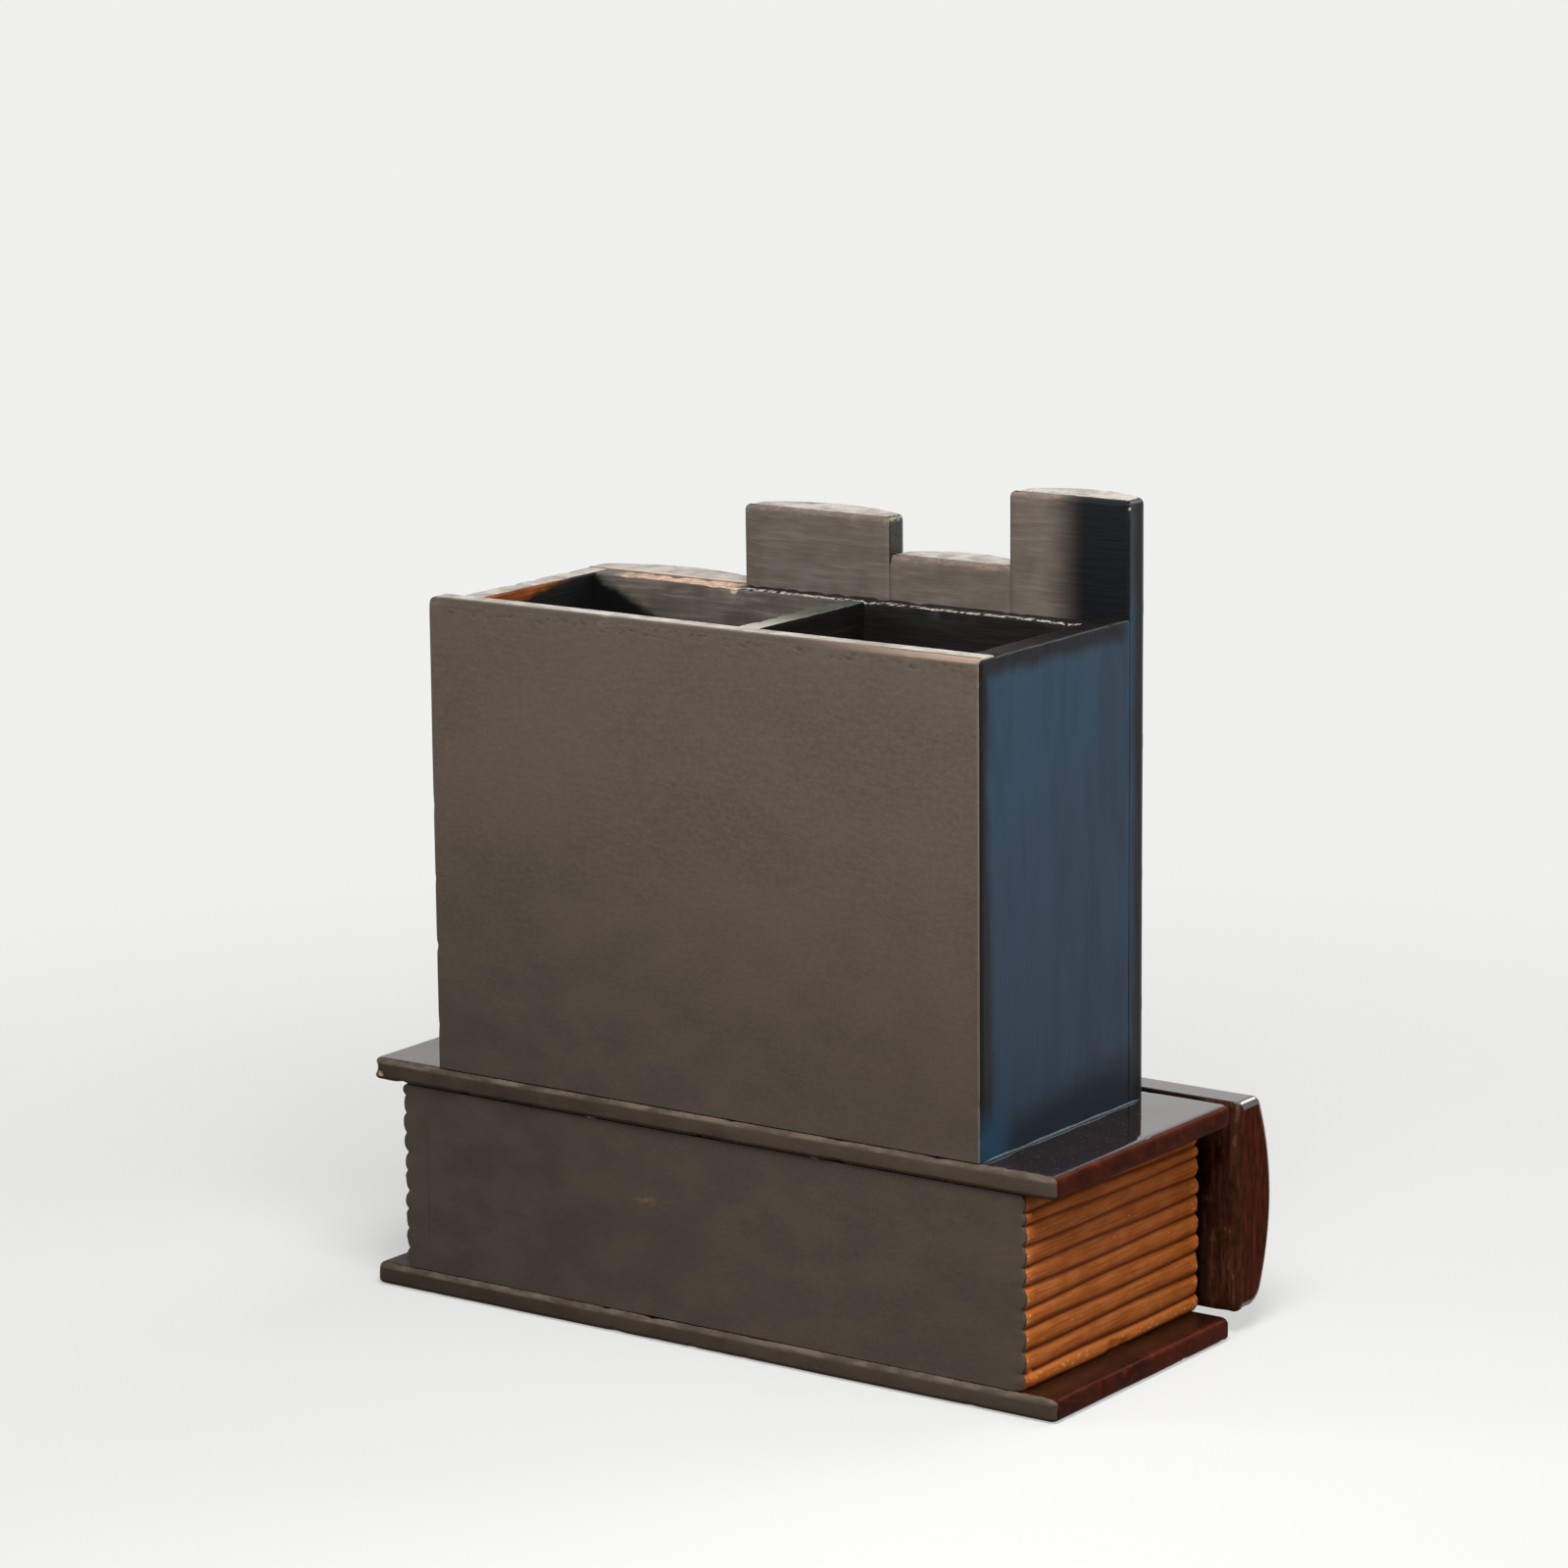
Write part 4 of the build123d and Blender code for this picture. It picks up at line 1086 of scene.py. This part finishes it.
# Bead of paint along the foot of the blue end: a quarter round whose radius wanders along y, carried
# from the back corner to the front and drawn to a point at both ends
def layPaintBead(bead):
    draw = np.random.default_rng(bead["seed"])
    along = np.linspace(bead["from"], bead["to"], bead["rings"]) * mm
    phase = draw.uniform(0, 2 * np.pi, len(bead["waves"]))
    waves = sum(np.sin(along / (length * mm) + shift) for length, shift in zip(bead["waves"], phase))
    share = np.linspace(0, 1, bead["rings"])
    taper = np.clip(np.minimum(share, 1 - share) / bead["taper"], bead["tip"], 1)
    radius = bead["radius"] * mm * (1 + bead["wander"] * waves / len(bead["waves"])) * taper
    turn = np.linspace(np.pi / 2, np.pi, bead["turns"])
    wide, tall = np.append(np.cos(turn), 0), np.append(np.sin(turn), 0)
    x = cupLow[0] + bead["sink"] * mm + radius[:, None] * wide
    z = cupLow[2] - bead["sink"] * mm + radius[:, None] * tall
    points = np.stack([x, np.broadcast_to(along[:, None], x.shape), z], axis=-1).reshape(-1, 3)
    faces = faceOutwards(points, tubeFaces(*x.shape))
    piece = layMesh("blue_paint_bead", points, faces, {}, ["bead"], np.zeros(len(faces)))
    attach(piece, "case")


layPaintBead(paintBead)
print("paint bead laid")

fasteners = ("base_brads", "cup_screws", "cup_brads", "drawer_spine_screws", "drawer_brads")
for node in fasteners:
    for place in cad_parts[node].material_slots:
        place.material = finish["steel"]
print("fasteners finished,", len(fasteners))


# Stage

stageLook = {"floorTone": (190, 190, 188), "backTone": (240, 240, 239), "bounceTone": (120, 98, 80),
             "floorHalf": 9.0, "blendFrom": 0.14, "blendTo": 0.45, "glow": 0.5, "daylight": 0.22}


# 1 for the rays that show the background: seen straight, mirrored or through glass
def seenRays(tree):
    path = put("LightPath", tree=tree)
    return most(*[path.outputs["Is " + kind + " Ray"] for kind in ("Camera", "Glossy", "Transmission")])


# Pale floor that takes the object's shadow near it and passes into the even background further away.
# It throws back less light than it shows, and a warmer one.
def paleFloor(look):
    material = bpy.data.materials.new("paleFloor")
    material.use_nodes = True
    material.cycles.emission_sampling = "NONE"
    tree = material.node_tree
    tree.nodes.clear()
    away = put("VectorMath", {0: objectPlace(tree)}, operation="LENGTH").outputs["Value"]
    glowShare = between(rise(away, look["blendFrom"], look["blendTo"]), look["glow"], 1.0)
    shaded = put("BsdfDiffuse", {"Color": tone(look["floorTone"])}, tree)
    even = put("Emission", {"Color": tone(look["backTone"]), "Strength": 1.0}, tree)
    shown = put("MixShader", {0: glowShare, 1: shaded.outputs[0], 2: even.outputs[0]})
    bounce = put("BsdfDiffuse", {"Color": tone(look["bounceTone"])}, tree)
    mixed = put("MixShader", {0: seenRays(tree), 1: bounce.outputs[0], 2: shown.outputs[0]})
    put("OutputMaterial", {"Surface": mixed.outputs[0]})
    half = look["floorHalf"]
    mesh = bpy.data.meshes.new("floor")
    corners = [(-half, -half, 0), (half, -half, 0), (half, half, 0), (-half, half, 0)]
    mesh.from_pydata(corners, [], [(0, 1, 2, 3)])
    mesh.materials.append(material)
    floor = addObject("floor", mesh)


def paleWorld(look):
    world = bpy.data.worlds.new("studio")
    world.use_nodes = True
    bpy.context.scene.world = world
    tree = world.node_tree
    tree.nodes.clear()
    light = put("Background", {"Color": (1, 1, 1, 1), "Strength": look["daylight"]}, tree)
    back = put("Background", {"Color": tone(look["backTone"]), "Strength": 1.0}, tree)
    mixed = put("MixShader", {0: seenRays(tree), 1: light.outputs[0], 2: back.outputs[0]})
    put("OutputWorld", {"Surface": mixed.outputs[0]})


lampAim = (0, 0, 0.09)
lamps = {
    "key": {"at": (-0.18, 0.22, 0.45), "size": 0.26, "watts": 3.6},
    "left": {"at": (0.9, 0.5, 0.52), "size": 0.4, "watts": 4.0},
    "right": {"at": (-0.9, -0.12, 0.55), "size": 0.5, "watts": 2.9},
    "front": {"at": (-0.3, -1.0, 1.0), "size": 0.9, "watts": 11.0},
}


def softLamp(name, look):
    data = bpy.data.lights.new(name, "AREA")
    data.shape = "DISK"
    data.size = look["size"]
    data.energy = look["watts"]
    lamp = addObject(name, data)
    lamp.location = look["at"]
    aim = Vector(lampAim) - Vector(look["at"])
    lamp.rotation_euler = aim.to_track_quat("-Z", "Y").to_euler()


view = {"azimuth": 215.563, "elevation": 11.548, "roll": -0.553, "target": (0.00218, 0.0076, 0.1110),
        "distance": 1.0873, "lens": 122.85, "sensor": 36.0}


# The camera looks at its target from an azimuth and elevation, with a slight roll
def photoCamera(look):
    turn, lift, roll = np.radians([look["azimuth"], look["elevation"], look["roll"]])
    back = Vector((np.sin(turn) * np.cos(lift), -np.cos(turn) * np.cos(lift), np.sin(lift)))
    level = Vector((np.cos(turn), np.sin(turn), 0))
    upright = back.cross(level)
    right = level * np.cos(roll) + upright * np.sin(roll)
    up = upright * np.cos(roll) - level * np.sin(roll)
    data = bpy.data.cameras.new("photoCamera")
    data.lens = look["lens"]
    data.sensor_width = look["sensor"]
    data.sensor_height = look["sensor"]
    data.sensor_fit = "AUTO"
    camera = addObject("photoCamera", data)
    turned = Matrix((right, up, back)).transposed().to_4x4()
    turned.translation = Vector(look["target"]) + back * look["distance"]
    camera.matrix_world = turned
    bpy.context.scene.camera = camera


paleFloor(stageLook)
paleWorld(stageLook)
for name, look in lamps.items():
    softLamp(name, look)
photoCamera(view)
bpy.context.scene.view_settings.view_transform = "Standard"
print("stage set")
